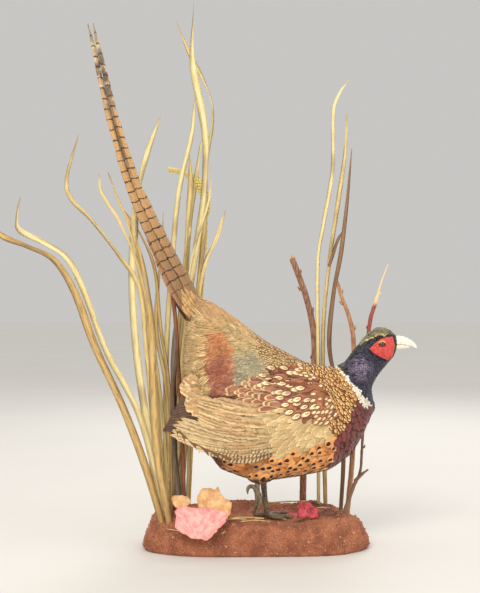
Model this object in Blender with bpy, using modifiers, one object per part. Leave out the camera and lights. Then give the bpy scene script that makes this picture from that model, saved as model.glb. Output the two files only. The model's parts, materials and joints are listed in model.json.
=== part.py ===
"""Taxidermy cock ring-necked pheasant on a block of earth, with dried grasses, twigs and autumn leaves.

The bird faces +X with its mid-plane on Y = 0, +Z is up, and the origin is on the underside of the base, below
the middle of the body. Sizes and places below are in millimetres, and become metres where a mesh is made.
"""

import math

import bmesh
import bpy
import numpy as np
from mathutils import Matrix, Vector

MM = 0.001
GAP = 0.3
BAR_RESOLUTION = 1

# ---- body: each station joins a point of the upper outline to one of the lower, from tail root to breast.
# (upper x, upper z, lower x, lower z, half width, how far the widest height drops below the middle)
TRUNK_STATIONS = (
    (-82, 385, -96, 362, 15, 0.0),
    (-70, 383, -101, 334, 25, 0.0),
    (-54, 374, -104, 304, 33, 0.0),
    (-36, 362, -105, 262, 38, -0.05),
    (-17, 348, -98, 212, 45, -0.1),
    (6, 331, -82, 160, 51, -0.15),
    (30, 315, -52, 121, 55, -0.15),
    (52, 304, -14, 107, 56, -0.12),
    (76, 290, 28, 104, 57, -0.1),
    (100, 284, 74, 111, 56, -0.1),
    (120, 282, 116, 120, 52, -0.1),
    (136, 275, 148, 142, 46, -0.05),
    (152, 260, 170, 175, 36, 0.0),
    (168, 244, 183, 205, 23, 0.0),
)
TRUNK_AROUND = 24
TRUNK_TAIL_CAP = (0.6,)
CAP_REACH = 0.55

# ---- neck and head in one loft: (nape x, nape z, throat x, throat z, half width, widest drop)
NECK_STATIONS = (
    (112, 262, 168, 205, 34, 0.0),
    (128, 283, 186, 215, 42, 0.0),
    (140, 288, 184, 230, 33, 0.0),
    (149, 301, 182, 247, 26, 0.0),
    (158, 312, 190, 263, 21, 0.0),
    (167, 324, 201, 277, 17.5, 0.0),
    (177, 334, 208, 285, 17, -0.05),
    (189, 341, 213, 291, 17, -0.1),
    (200, 342, 217, 297, 15, -0.1),
    (210, 338, 219, 303, 11.5, -0.05),
    (217, 332, 221, 308, 8.5, 0.0),
)
NECK_AROUND = 18
NECK_CUT = (182, 299)
NECK_CUT_SLOPE = math.radians(48)
NECK_CUT_REACH = 90
BROW_CAP = (0.6,)

# ---- bill: (x, culmen z, cutting edge z, half width) and (x, cutting edge z, underside z, half width)
BILL_UPPER = (
    (214, 327, 316, 7.5),
    (221, 327.5, 315.5, 7.2),
    (229, 327, 315, 6),
    (237, 324, 314, 4.8),
    (244, 320, 313, 3.6),
    (249, 315.5, 311.5, 2.2),
    (252, 311.5, 309.5, 0.9),
)
BILL_LOWER = (
    (214, 315, 307, 6.2),
    (221, 314.6, 306.6, 5.8),
    (229, 314, 307.5, 4.8),
    (236, 313, 308.8, 3.4),
    (241.5, 312, 309.8, 1.8),
)
BILL_AROUND = 10

EYE = (196.5, 12.4, 316.5)
EYE_RADIUS = 5.6
WATTLE_MIDDLE = (197.5, 309)
WATTLE_REACH = (20, 18)
WATTLE_PROUD = 1.3
WATTLE_AROUND = 16
WATTLE_LOBE = 0.12
WATTLE_LOBE_TURN = 0.6
WATTLE_INNER = 3
WATTLE_OUTER = 33

# ---- tail: a gently curved axis, rolled towards the bird's right side
TAIL_AXIS = (
    (-80, 352), (-112, 408), (-141, 462), (-170, 521), (-193, 577), (-220, 667), (-240, 752), (-254, 812),
)
TAIL_ROLL = math.radians(-50)
# (share of the length, offset from the axis, half width)
TAIL_CENTRE = (
    (0, 8, 8),
    (0.12, 8.5, 9.5),
    (0.35, 8, 9.8),
    (0.55, 6.8, 8),
    (0.7, 5.8, 6.2),
    (0.85, 5, 4.6),
    (0.94, 5, 3),
    (1, 5.2, 0.9),
)
TAIL_CENTRE_THICK = 1.3
TAIL_CENTRE_LIFT = 1.2
TAIL_CENTRE_STEP = 0.9
TAIL_CENTRE_RIDGE = 0.5
TAIL_CENTRE_SAG = 1.8
TAIL_EDGE_THICK = 0.6
# (share of the length, outer edge)
TAIL_SIDE = ((0, 17), (0.08, 22), (0.16, 25), (0.24, 23), (0.33, 18), (0.45, 14), (0.58, 9))
TAIL_SIDE_THICK = 2.4
TAIL_SIDE_THINNING = 0.6
TAIL_SIDE_GAP = 0.4
TAIL_SIDE_LOW = 2
TAIL_SIDE_SAG = 5
TAIL_STEPS = 14

# ---- wing, right side: (upper x, upper z, lower x, lower z, y at top, y at middle, y at bottom, thickness)
WING_STATIONS = (
    (124, 228, 121, 208, 44, 50, 44, 6),
    (117, 246, 108, 188, 46, 59, 49, 10),
    (99, 258, 87, 177, 46, 63, 52, 12),
    (70, 266, 55, 162, 47, 65.5, 54, 12),
    (40, 268, 21, 154, 48, 66, 54, 12),
    (8, 268, -14, 147, 50, 65, 53, 11),
    (-28, 268, -44, 139, 52, 62, 50, 10),
    (-62, 268, -74, 149, 48, 56, 46, 8),
    (-92, 268, -104, 162, 39, 48, 42, 5),
    (-110, 256, -126, 184, 31, 40, 38, 2.4),
)
WING_ACROSS = 8
WING_EDGE = 0.9
WING_BULGE_POWER = 0.8
# (x, upper z, lower z, y, thickness)
PRIMARIES = (
    (-60, 228, 196, 30, 2),
    (-90, 224, 194, 30, 2.4),
    (-112, 218, 190, 30, 2.4),
    (-126, 213.5, 189, 30, 2),
    (-136, 208, 193, 30, 1),
)
PRIMARIES_EDGE = 0.8

# ---- legs: the left leg stands, the right one is drawn up with its toes hanging
THIGH_LEFT = (14, 24, 112)
THIGH_RIGHT = (8, -24, 119)
THIGH_REACH = (24, 17, 17)
TARSUS_RADII = (5.2, 4, 3.7, 3.6)
TARSUS_LEFT = ((16, 15, 82), (18, 6, 66), (19, 2, 58))
TARSUS_RIGHT = ((6, -25, 108), (4.5, -27, 101))
FOOT_LEFT_HUB = (19, 0, 51.5)
FOOT_RIGHT_HUB = (3.5, -28, 94)
HUB_RADIUS = 5.6
HUB_DEPTH = 1.2
LEG_STEPS = 5
TOE_RADII = (3.6, 3.1, 2.8, 2.4, 0.7)
FOOT_LEFT_TOES = (
    ((30, -3, 50), (42, -5, 49.6), (53, -6.5, 49), (61, -7.5, 47.4)),
    ((27, -10, 49.8), (36, -17, 49.4), (44, -23, 49), (50, -27, 47.6)),
    ((29, 9, 50.4), (39, 16, 50.4), (47, 22, 50), (54, 26, 48.6)),
    ((12, 3, 50.4), (6, 5, 49.8), (2, 6, 49), (-2, 7, 47.6)),
)
FOOT_RIGHT_TOES = (
    ((4, -31, 82), (3, -30, 71), (0, -28, 61), (-2, -27, 53.5)),
    ((8, -34, 84), (8.5, -36, 75), (5.5, -35, 66), (2, -33.5, 58)),
    ((7, -24, 84), (7.5, -21, 76), (5, -20, 67), (2, -20, 59)),
    ((-1, -27, 98.5), (-7, -27, 99), (-10.5, -27, 94.5), (-10, -27, 87)),
)

# ---- base: a rounded block of earth with mounds at its ends and along its back
BASE_LENGTH = 346
BASE_MIDDLE = (0, 15)
BASE_DEPTH = 156
BASE_SQUARENESS = 3.2
BASE_GROUND = 46
BASE_AROUND = 36
# (x, y, height above the ground, reach in x, reach in y)
BASE_MOUNDS = (
    (-142, 10, 19, 34, 60),
    (132, -18, 19, 34, 40),
    (105, 72, 16, 50, 26),
    (-60, 78, 15, 60, 24),
    (10, 84, 11, 50, 18),
    (0, -62, 6, 130, 12),
)
# (share of the way from the middle to the rim, share of the rim's height)
BASE_TOP_RINGS = (0.25, 0.5, 0.7, 0.84, 0.94)
BASE_SIDE_RINGS = ((0.985, 0.92), (1.005, 0.72), (1.02, 0.35), (1.015, 0.08))
BASE_UNDER_RIM = 0.99
BASE_RIM_DROP = 5
BASE_ROUNDS_FROM = 0.74
# (share of the size, waves around, turn)
BASE_UNEVEN = ((0.018, 3, 0.7), (0.012, 7, 2))
BASE_RIPPLE = 1.2
BASE_RIPPLE_WAVES = (0.11, 0.13)

BLADE_THICK = 0.8
BLADE_BETWEEN = 2
BLADE_FOOT = 0.55
BLADE_WIDEST = 0.15
BLADE_TAPER = 1.8
BLADE_TIP = 0.45
# Each blade: its width, the turn of its face in degrees, and the points that it passes, foot first.
BLADES = {
    "grass_left_1": (10, 10, (
        (-141, -44, 50), (-166, -45, 136), (-200, -44, 225), (-241, -41, 313), (-272, -40, 395),
        (-304, -36, 444), (-345, -34, 465), (-385, -34, 482), (-398, -34, 505),
    )),
    "grass_left_2": (8, -8, (
        (-137, -34, 48), (-172, -34, 200), (-226, -33, 308), (-260, -33, 400), (-284, -33, 446),
        (-318, -33, 470), (-356, -33, 489), (-361, -33, 508), (-356, -33, 541),
    )),
    "grass_left_3": (6, 12, (
        (-134, -16, 50), (-152, -17, 165), (-165, -17, 300), (-176, -16, 400), (-208, -15, 452),
        (-250, -15, 506), (-282, -15, 540), (-288, -15, 572), (-270, -15, 638),
    )),
    "grass_left_4": (11, -6, (
        (-141, -26, 52), (-159, -26, 165), (-178, -22, 285), (-188, -8, 390), (-188, 12, 480),
        (-184, 27, 545), (-170, 30, 610), (-147, 30, 676),
    )),
    "grass_left_5": (10, 15, (
        (-129, -50, 50), (-145, -50, 140), (-153, -46, 240), (-155, -38, 330), (-163, -33, 405),
        (-181, -30, 482),
    )),
    "grass_left_6": (4, 0, (
        (-132, 4, 50), (-142, 4, 200), (-159, 2, 330), (-179, -4, 432), (-207, -6, 502),
        (-235, -6, 548), (-240, -6, 580),
    )),
    "grass_left_7": (4, 10, (
        (-127, -6, 50), (-131, -6, 240), (-145, 0, 340), (-155, 12, 430), (-176, 24, 482), (-203, 26, 523),
    )),
    "grass_left_8": (5, -12, (
        (-133, 14, 50), (-136, 14, 230), (-152, 14, 330), (-151, 18, 400), (-144, 26, 470), (-143, 28, 524),
    )),
    "grass_left_9": (7, 8, (
        (-138, 22, 50), (-139, 22, 200), (-137, 24, 320), (-129, 34, 450), (-119, 40, 555),
        (-99, 42, 645), (-94, 42, 706),
    )),
    "grass_tall_1": (11, -10, (
        (-124, 70, 50), (-120, 70, 200), (-112, 68, 340), (-92, 62, 470), (-80, 60, 560),
        (-78, 58, 650), (-93, 56, 735), (-99, 55, 780), (-96, 55, 862),
    )),
    "grass_tall_2": (7, 10, (
        (-116, 77, 50), (-108, 77, 200), (-94, 75, 350), (-81, 70, 490), (-77, 67, 600),
        (-67, 65, 660), (-67, 65, 700), (-82, 64, 740), (-104, 64, 782), (-125, 64, 834),
    )),
    "grass_tall_3": (6, -14, (
        (-106, 66, 50), (-100, 66, 230), (-88, 58, 380), (-78, 48, 440), (-60, 44, 480), (-45, 44, 527),
    )),
    "grass_tall_4": (5, 16, (
        (-132, 62, 50), (-126, 62, 250), (-114, 58, 420), (-105, 50, 478), (-101, 48, 504),
    )),
    "grass_tall_5": (7, 5, (
        (-131, 78, 50), (-124, 78, 230), (-114, 74, 400), (-105, 66, 520), (-102, 64, 580), (-103, 64, 618),
    )),
    "grass_tall_6": (6, -5, (
        (-122, 84, 50), (-116, 84, 300), (-106, 80, 480), (-96, 76, 560), (-88, 74, 620), (-82, 74, 645),
    )),
    "grass_dark": (9, 20, (
        (-113, -12, 50), (-120, -13, 120), (-124, -13, 200), (-124, -14, 280), (-122, -16, 350),
    )),
    "grass_red": (5, 0, (
        (-108, 12, 50), (-113, 14, 180), (-119, 16, 290), (-124, 18, 360), (-132, 22, 420), (-141, 26, 462),
    )),
    "grass_right_1": (5, 8, (
        (104, 70, 50), (105, 69, 180), (104, 67, 300), (103, 62, 440), (112, 58, 505),
        (126, 54, 590), (127, 52, 680), (136, 52, 712), (153, 52, 737),
    )),
    "grass_right_2": (6, -8, (
        (116, 80, 50), (114, 80, 180), (113, 78, 330), (122, 72, 440), (136, 66, 540),
        (147, 62, 620), (150, 62, 684),
    )),
    "grass_right_3": (6, 12, (
        (140, 70, 50), (145, 70, 140), (134, 68, 240), (122, 66, 310), (128, 62, 390),
        (140, 56, 460), (150, 54, 545), (157, 54, 626),
    )),
    "grass_right_4": (4, 0, ((126, 78, 455), (133, 77, 475), (146, 76, 500))),
}
# Each stem: its colour, its radii and the points that it passes, both foot first.
STEM_STEPS = 10
STEMS = {
    "seed_head": ("straw", (1.4, 1.3, 1.2, 1.2, 1.2, 1.3, 4.5, 5, 3.6, 0.8), (
        (-104, 89, 50), (-98, 90, 170), (-86, 90, 330), (-78, 88, 470), (-80, 86, 540),
        (-92, 84, 572), (-114, 84, 590), (-138, 84, 596),
    )),
    "twig_broken": ("twig", (5.6, 5.3, 5.1, 4.6), (
        (79, 78, 50), (82, 79, 120), (92, 80, 225), (99, 80, 290), (97, 80, 336),
        (88, 74, 378), (76, 68, 414), (62, 64, 452),
    )),
    "twig_budded": ("twig", (4.2, 4, 3.4, 2.6), (
        (150, 58, 50), (158, 56, 130), (162, 54, 240), (160, 53, 310), (157, 52, 338),
        (150, 52, 364), (139, 50, 392), (135, 50, 410),
    )),
    "twig_forked": ("twig", (3.8, 3.6, 2.5, 1.2), (
        (144, 34, 50), (158, 36, 88), (169, 40, 112), (173, 45, 160), (179, 46, 245),
        (184, 46, 340), (194, 44, 380), (202, 42, 410), (213, 40, 441),
    )),
}
STUBS = {"twig_forked": ((3, 2.4, 1.6), ((163, 37, 100), (171, 33, 108), (180, 29, 116)))}
# (radius, start, end)
STRAWS = {
    "straw_long": (1.2, (22, 34, 62), (83, 30, 66)),
    "straw_near": (1.3, (-38, -30, 52), (14, -40, 53)),
    "straw_short": (1.1, (-42, -46, 53), (-12, -53, 54.5)),
}
# name: (colour, middle, half length, half width, turn about +Z, pitch, roll in degrees, lobes, their depth)
LEAVES = {
    "leaf_pink": ("leaf_pink", (-79, -71, 57), 41, 30, 4, 54, 0, 9, 0.1),
    "leaf_orange": ("leaf_orange", (-59, -39, 82), 30, 24, -14, 50, 14, 5, 0.22),
    "leaf_tan": ("leaf_orange", (-107, -38, 77), 19, 13, 10, 40, -10, 5, 0.2),
    "leaf_red": ("leaf_red", (80, -26, 66), 20, 13, -8, 42, 6, 7, 0.16),
    "leaf_dark": ("leaf_red", (58, -38, 58), 9, 6, 20, 30, 10, 5, 0.15),
}
LEAF_AROUND = 16
LEAF_RINGS = 2
LEAF_THICK = 0.7
LEAF_CURL = 0.1
LEAF_RIPPLE = 0.06
LEAF_CURL_TURN = 0.5

COLOURS = {
    "mantle": (0.42, 0.24, 0.09),
    "neck": (0.03, 0.03, 0.08),
    "head": (0.05, 0.07, 0.05),
    "wattle": (0.6, 0.03, 0.03),
    "bill": (0.82, 0.8, 0.7),
    "eye": (0.03, 0.015, 0.01),
    "tail": (0.4, 0.25, 0.12),
    "wing": (0.5, 0.4, 0.22),
    "primaries": (0.12, 0.08, 0.06),
    "thigh": (0.2, 0.1, 0.05),
    "leg": (0.22, 0.2, 0.17),
    "earth": (0.2, 0.07, 0.045),
    "leaf_pink": (0.75, 0.25, 0.25),
    "leaf_orange": (0.75, 0.42, 0.2),
    "leaf_red": (0.5, 0.06, 0.07),
    "straw": (0.62, 0.5, 0.28),
    "grass": (0.7, 0.6, 0.34),
    "twig": (0.3, 0.16, 0.1),
}


def clear_scene():
    for obj in list(bpy.data.objects):
        bpy.data.objects.remove(obj, do_unlink=True)


def collection(name):
    made = bpy.data.collections.new(name)
    bpy.context.scene.collection.children.link(made)
    return made


def material(name):
    found = bpy.data.materials.get(name)
    if found:
        return found
    made = bpy.data.materials.new(name)
    made.use_nodes = True
    shader = made.node_tree.nodes["Principled BSDF"]
    shader.inputs["Base Color"].default_value = (*COLOURS[name], 1)
    shader.inputs["Roughness"].default_value = 0.7
    shader.inputs["Metallic"].default_value = 0
    return made


def object_of(name, bm, colour=None):
    """A part where colour names its material, or else a hidden cutter, from a mesh in millimetres."""
    bmesh.ops.recalc_face_normals(bm, faces=bm.faces)
    bmesh.ops.scale(bm, vec=(MM, MM, MM), verts=bm.verts)
    mesh = bpy.data.meshes.new(name)
    bm.to_mesh(mesh)
    bm.free()
    obj = bpy.data.objects.new(name, mesh)
    if colour:
        parts.objects.link(obj)
        mesh.materials.append(material(colour))
        mesh.shade_smooth()
    else:
        cutters.objects.link(obj)
        obj.hide_render = True
        obj.display_type = "WIRE"
    return obj


def boolean(obj, other, operation="DIFFERENCE"):
    change = obj.modifiers.new(f"{operation.lower()}_{other.name}", "BOOLEAN")
    change.operation = operation
    change.solver = "EXACT"
    change.object = other


def thicken(obj, thickness):
    """Gives an open sheet its thickness, half to each side."""
    wall = obj.modifiers.new("wall", "SOLIDIFY")
    wall.thickness = thickness * MM
    wall.offset = 0


def smooth_row(rows, share):
    """Row of numbers at a share from 0 to 1 of the way through rows, on a Catmull-Rom curve."""
    rows = np.array(rows, float)
    place = share * (len(rows) - 1)
    first = min(int(place), len(rows) - 2)
    t = place - first
    before = rows[first - 1] if first > 0 else 2 * rows[0] - rows[1]
    after = rows[first + 2] if first + 2 < len(rows) else 2 * rows[-1] - rows[-2]
    a, b = rows[first], rows[first + 1]
    linear = b - before
    square = 2 * before - 5 * a + 4 * b - after
    cubic = 3 * a - before - 3 * b + after
    return 0.5 * (2 * a + linear * t + square * t ** 2 + cubic * t ** 3)


def at_share(rows, share):
    """The row at a share that each row states first, by straight lines."""
    rows = np.array(rows, float)
    return [np.interp(share, rows[:, 0], rows[:, k]) for k in range(1, rows.shape[1])]


def loft(rings):
    """Closed skin through rings of equally many points, with a rounded-in cap at each end."""
    bm = bmesh.new()
    made = [[bm.verts.new(p) for p in ring] for ring in rings]
    for low, high in zip(made, made[1:]):
        for k in range(len(low)):
            n = (k + 1) % len(low)
            bm.faces.new((low[k], low[n], high[n], high[k]))
    for ring in (made[0], made[-1]):
        middle = bm.verts.new(sum((v.co for v in ring), Vector()) / len(ring))
        for k in range(len(ring)):
            bm.faces.new((ring[k], ring[(k + 1) % len(ring)], middle))
    return bm


def grown(bm, distance):
    """A copy of a closed mesh, moved outwards along its normals."""
    copy = bm.copy()
    bmesh.ops.recalc_face_normals(copy, faces=copy.faces)
    copy.normal_update()
    moves = [v.normal * distance * v.calc_shell_factor() for v in copy.verts]
    for v, move in zip(copy.verts, moves):
        v.co += move
    return copy


def oval_rings(stations, around, last_shrinks=(0.8, 0.5), first_shrinks=()):
    """Rings of a body whose stations join an upper point to a lower one, with smaller rings at its ends."""
    rings = []
    for ux, uz, lx, lz, half, drop in stations:
        middle = Vector((ux + lx, 0, uz + lz)) / 2
        up = Vector((ux - lx, 0, uz - lz)) / 2
        ring = []
        for k in range(around):
            angle = 2 * math.pi * k / around
            wide = half * math.sin(angle) * (1 + drop * math.cos(angle))
            ring.append(middle + up * math.cos(angle) + Vector((0, wide, 0)))
        rings.append(ring)

    def cap(ring, inner, shrinks):
        middle = sum(ring, Vector()) / len(ring)
        ahead = middle - sum(inner, Vector()) / len(inner)
        out = ahead.normalized() * CAP_REACH * min((p - middle).length for p in ring)
        return [[middle + (p - middle) * s + out * math.sqrt(1 - s * s) for p in ring] for s in shrinks]

    return cap(rings[0], rings[1], first_shrinks)[::-1] + rings + cap(rings[-1], rings[-2], last_shrinks)


def block(name, middle, reach, slope):
    """A box cutter whose lower right face passes through middle, turned about Y by slope."""
    bm = bmesh.new()
    bmesh.ops.create_cube(bm, size=2 * reach)
    bmesh.ops.translate(bm, vec=(reach, 0, 0), verts=bm.verts)
    bmesh.ops.rotate(bm, cent=(0, 0, 0), matrix=Matrix.Rotation(slope, 3, "Y"), verts=bm.verts)
    bmesh.ops.translate(bm, vec=middle, verts=bm.verts)
    return object_of(name, bm)


def ball(name, middle, reach, colour=None, rows=8, around=12):
    bm = bmesh.new()
    bmesh.ops.create_uvsphere(bm, u_segments=around, v_segments=rows, radius=1)
    bmesh.ops.scale(bm, vec=reach, verts=bm.verts)
    bmesh.ops.translate(bm, vec=middle, verts=bm.verts)
    return object_of(name, bm, colour)


def tube(name, points, radii, steps, colour=None):
    """A round bar along a smooth line, made as a curve with filled caps and turned into a mesh."""
    curve = bpy.data.curves.new(name, "CURVE")
    curve.dimensions = "3D"
    curve.bevel_depth = MM
    curve.bevel_resolution = BAR_RESOLUTION
    curve.use_fill_caps = True
    spline = curve.splines.new("POLY")
    spline.points.add(steps)
    for k in range(steps + 1):
        spline.points[k].co = (*(smooth_row(points, k / steps) * MM), 1)
        spline.points[k].radius = np.interp(k / steps, np.linspace(0, 1, len(radii)), radii)
    route = bpy.data.objects.new(name + "_route", curve)
    bpy.context.scene.collection.objects.link(route)
    bpy.context.view_layer.update()
    graph = bpy.context.evaluated_depsgraph_get()
    mesh = bpy.data.meshes.new_from_object(route.evaluated_get(graph))
    place = route.matrix_world.copy()
    bpy.data.objects.remove(route)
    bm = bmesh.new()
    bm.from_mesh(mesh)
    bpy.data.meshes.remove(mesh)
    bmesh.ops.remove_doubles(bm, verts=bm.verts, dist=1e-6)
    bmesh.ops.scale(bm, vec=(1 / MM, 1 / MM, 1 / MM), verts=bm.verts)
    obj = object_of(name, bm, colour)
    obj.matrix_world = place
    return obj


# ---------------------------------------------------------------- the bird


def make_body():
    """Trunk, neck and head, and the grown trunk that its neighbours are cut with."""
    trunk_form = loft(oval_rings(TRUNK_STATIONS, TRUNK_AROUND, first_shrinks=TRUNK_TAIL_CAP))
    trunk_room = object_of("trunk_room", grown(trunk_form, GAP))
    object_of("trunk", trunk_form, "mantle")
    neck_form = loft(oval_rings(NECK_STATIONS, NECK_AROUND, last_shrinks=BROW_CAP))
    head_room = object_of("head_room", grown(neck_form, GAP))
    wattle_reach = object_of("wattle_reach", grown(neck_form, WATTLE_PROUD + GAP))
    neck = object_of("neck", neck_form.copy(), "neck")
    head = object_of("head", neck_form, "head")
    boolean(neck, trunk_room)
    x, z = NECK_CUT
    half_gap = (GAP / 2 * math.cos(NECK_CUT_SLOPE), GAP / 2 * math.sin(NECK_CUT_SLOPE))
    above = (x - half_gap[0], 0, z - half_gap[1])
    below = (x + half_gap[0], 0, z + half_gap[1])
    boolean(neck, block("above_neck", above, NECK_CUT_REACH, -NECK_CUT_SLOPE))
    boolean(head, block("below_head", below, NECK_CUT_REACH, math.pi - NECK_CUT_SLOPE))
    return trunk_room, head, head_room, wattle_reach


def wattle_block(side):
    """A slab with a three-lobed outline beside the head, which the grown head is cut down with."""
    bm = bmesh.new()
    outline = []
    for k in range(WATTLE_AROUND):
        angle = 2 * math.pi * k / WATTLE_AROUND
        lobe = 1 + WATTLE_LOBE * math.cos(3 * angle + WATTLE_LOBE_TURN)
        x = WATTLE_MIDDLE[0] + WATTLE_REACH[0] * lobe * math.cos(angle)
        z = WATTLE_MIDDLE[1] + WATTLE_REACH[1] * lobe * math.sin(angle)
        outline.append(bm.verts.new((x, side * WATTLE_INNER, z)))
    made = bmesh.ops.extrude_face_region(bm, geom=[bm.faces.new(outline)])
    moved = [v for v in made["geom"] if isinstance(v, bmesh.types.BMVert)]
    bmesh.ops.translate(bm, vec=(0, side * (WATTLE_OUTER - WATTLE_INNER), 0), verts=moved)
    return bm


def make_face(head, head_room, wattle_reach):
    for side, name in ((-1, "right"), (1, "left")):
        place = (EYE[0], side * EYE[1], EYE[2])
        ball(f"eye_{name}", place, (EYE_RADIUS,) * 3, "eye", rows=6, around=10)
        socket = ball(f"socket_{name}", place, (EYE_RADIUS + GAP,) * 3, rows=6, around=10)
        boolean(head, socket)
        wattle = object_of(f"wattle_{name}", wattle_block(side), "wattle")
        boolean(wattle, wattle_reach, "INTERSECT")
        boolean(wattle, head_room)
        boolean(wattle, socket)


def make_bill(head_room):
    for name, rows in (("bill_upper", BILL_UPPER), ("bill_lower", BILL_LOWER)):
        rings = []
        for x, top, bottom, half in rows:
            ring = []
            for k in range(BILL_AROUND):
                angle = 2 * math.pi * k / BILL_AROUND
                z = (top + bottom) / 2 + (top - bottom) / 2 * math.cos(angle)
                ring.append(Vector((x, half * math.sin(angle), z)))
            rings.append(ring)
        boolean(object_of(name, loft(rings), "bill"), head_room)


def tail_frame(share):
    """Point on the tail's axis, its sideways direction and the way its upper face looks."""
    x, z = smooth_row(TAIL_AXIS, share)
    before = smooth_row(TAIL_AXIS, max(share - 0.01, 0))
    after = smooth_row(TAIL_AXIS, min(share + 0.01, 1))
    along = Vector((after[0] - before[0], 0, after[1] - before[1])).normalized()
    roll = Matrix.Rotation(TAIL_ROLL, 3, along)
    return Vector((x, 0, z)), roll @ Vector((0, 1, 0)), roll @ Vector((along.z, 0, -along.x))


def tail_centre_rings(side):
    """Rings of one of the two long feathers: a ridge with two thin edges, the outer one hanging lower."""
    rings = []
    lift = TAIL_CENTRE_LIFT + side * TAIL_CENTRE_STEP
    edge = TAIL_EDGE_THICK / 2
    ridge = TAIL_CENTRE_THICK / 2
    for k in range(TAIL_STEPS + 1):
        share = k / TAIL_STEPS
        middle, sideways, upper = tail_frame(share)
        offset, half = at_share(TAIL_CENTRE, share)
        section = (
            (-half, edge),
            (0, TAIL_CENTRE_RIDGE + ridge),
            (half, edge - TAIL_CENTRE_SAG),
            (half, -edge - TAIL_CENTRE_SAG),
            (0, TAIL_CENTRE_RIDGE - ridge),
            (-half, -edge),
        )
        rings.append([middle + sideways * side * (offset + across) + upper * (lift + height)
                      for across, height in section])
    return rings


def tail_side_rings(side):
    """Rings of the stepped shorter feathers on one side, as one thin solid below the long ones."""
    rings = []
    longest = TAIL_SIDE[-1][0]
    steps = TAIL_STEPS // 2
    for k in range(steps + 1):
        share = longest * k / steps
        middle, sideways, upper = tail_frame(share)
        edge = at_share(TAIL_SIDE, share)[0]
        under = TAIL_SIDE_LOW + TAIL_SIDE_THICK * (1 - TAIL_SIDE_THINNING * share / longest)
        section = (
            (TAIL_SIDE_GAP, TAIL_SIDE_LOW),
            (edge / 2, TAIL_SIDE_LOW),
            (edge, TAIL_SIDE_SAG),
            (edge, TAIL_SIDE_SAG + TAIL_EDGE_THICK),
            (edge / 2, under),
            (TAIL_SIDE_GAP, under),
        )
        rings.append([middle + sideways * side * across - upper * depth for across, depth in section])
    return rings


def make_tail(trunk_room):
    for side, name in ((-1, "right"), (1, "left")):
        boolean(object_of(f"tail_centre_{name}", loft(tail_centre_rings(side)), "tail"), trunk_room)
        boolean(object_of(f"tail_side_{name}", loft(tail_side_rings(side)), "tail"), trunk_room)


def wing_rings(side):
    rings = []
    for ux, uz, lx, lz, y_top, y_middle, y_low, thick in WING_STATIONS:
        outer, inner = [], []
        for m in range(WING_ACROSS):
            t = m / (WING_ACROSS - 1)
            bulge = y_middle - (y_top + y_low) / 2
            y = y_top + (y_low - y_top) * t + bulge * math.sin(math.pi * t) ** WING_BULGE_POWER
            deep = WING_EDGE + (thick - WING_EDGE) * math.sin(math.pi * t)
            place = Vector((ux + (lx - ux) * t, 0, uz + (lz - uz) * t))
            outer.append(place + Vector((0, side * y, 0)))
            inner.append(place + Vector((0, side * (y - deep), 0)))
        rings.append(outer + inner[::-1])
    return rings


def make_wings(trunk_room):
    for side, name in ((-1, "right"), (1, "left")):
        form = loft(wing_rings(side))
        wing_room = object_of(f"wing_room_{name}", grown(form, GAP))
        boolean(object_of(f"wing_{name}", form, "wing"), trunk_room)
        rings = []
        for x, upper, lower, y, thick in PRIMARIES:
            middle = (upper + lower) / 2
            section = (
                (upper, 0),
                (middle, thick),
                (lower, 0),
                (lower, -PRIMARIES_EDGE),
                (middle, -thick),
                (upper, -PRIMARIES_EDGE),
            )
            rings.append([Vector((x, side * (y + out), z)) for z, out in section])
        quills = object_of(f"primaries_{name}", loft(rings), "primaries")
        boolean(quills, wing_room)
        boolean(quills, trunk_room)


def make_leg(name, thigh, route, hub, toes, trunk_room, base_room):
    """Thigh, tarsus and foot of one side, each seated in the one before it."""
    boolean(ball(f"thigh_{name}", thigh, THIGH_REACH, "thigh"), trunk_room)
    thigh_room = ball(f"thigh_room_{name}", thigh, [reach + GAP for reach in THIGH_REACH])
    foot = ball(f"foot_{name}", hub, (HUB_RADIUS,) * 3, "leg", rows=6, around=8)
    for k, toe in enumerate(toes):
        boolean(foot, tube(f"toe_{name}_{k + 1}", (hub, *toe), TOE_RADII, LEG_STEPS), "UNION")
    ankle = (hub[0], hub[1], hub[2] + HUB_DEPTH)
    shank = tube(f"tarsus_{name}", (thigh, *route, ankle), TARSUS_RADII, LEG_STEPS, "leg")
    boolean(shank, thigh_room)
    room_radii = [radius + GAP for radius in TARSUS_RADII]
    room_end = (hub[0], hub[1], hub[2] + HUB_DEPTH - GAP)
    room = tube(f"tarsus_room_{name}", (thigh, *route, room_end), room_radii, LEG_STEPS)
    boolean(foot, room)
    boolean(foot, base_room)


def make_legs(trunk_room, base_room):
    make_leg("right", THIGH_RIGHT, TARSUS_RIGHT, FOOT_RIGHT_HUB, FOOT_RIGHT_TOES, trunk_room, base_room)
    make_leg("left", THIGH_LEFT, TARSUS_LEFT, FOOT_LEFT_HUB, FOOT_LEFT_TOES, trunk_room, base_room)


# ---------------------------------------------------------------- the mount


def ground_height(x, y):
    """Height of the earth over the table, before the rim rounds it off."""
    height = BASE_GROUND
    for mx, my, rise, reach_x, reach_y in BASE_MOUNDS:
        height += rise * math.exp(-(((x - mx) / reach_x) ** 2) - ((y - my) / reach_y) ** 2)
    wave_x, wave_y = BASE_RIPPLE_WAVES
    return height + BASE_RIPPLE * math.sin(x * wave_x + 1) * math.cos(y * wave_y)


def rim_point(angle, share):
    """Point of the base's outline, drawn in to a share of its size, with the sides a little uneven."""
    c, s = math.cos(angle), math.sin(angle)
    power = 2 / BASE_SQUARENESS
    for rise, waves, turn in BASE_UNEVEN:
        share *= 1 + rise * math.sin(waves * angle + turn)
    return Vector((BASE_MIDDLE[0] + share * BASE_LENGTH / 2 * math.copysign(abs(c) ** power, c),
                   BASE_MIDDLE[1] + share * BASE_DEPTH / 2 * math.copysign(abs(s) ** power, s)))


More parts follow.
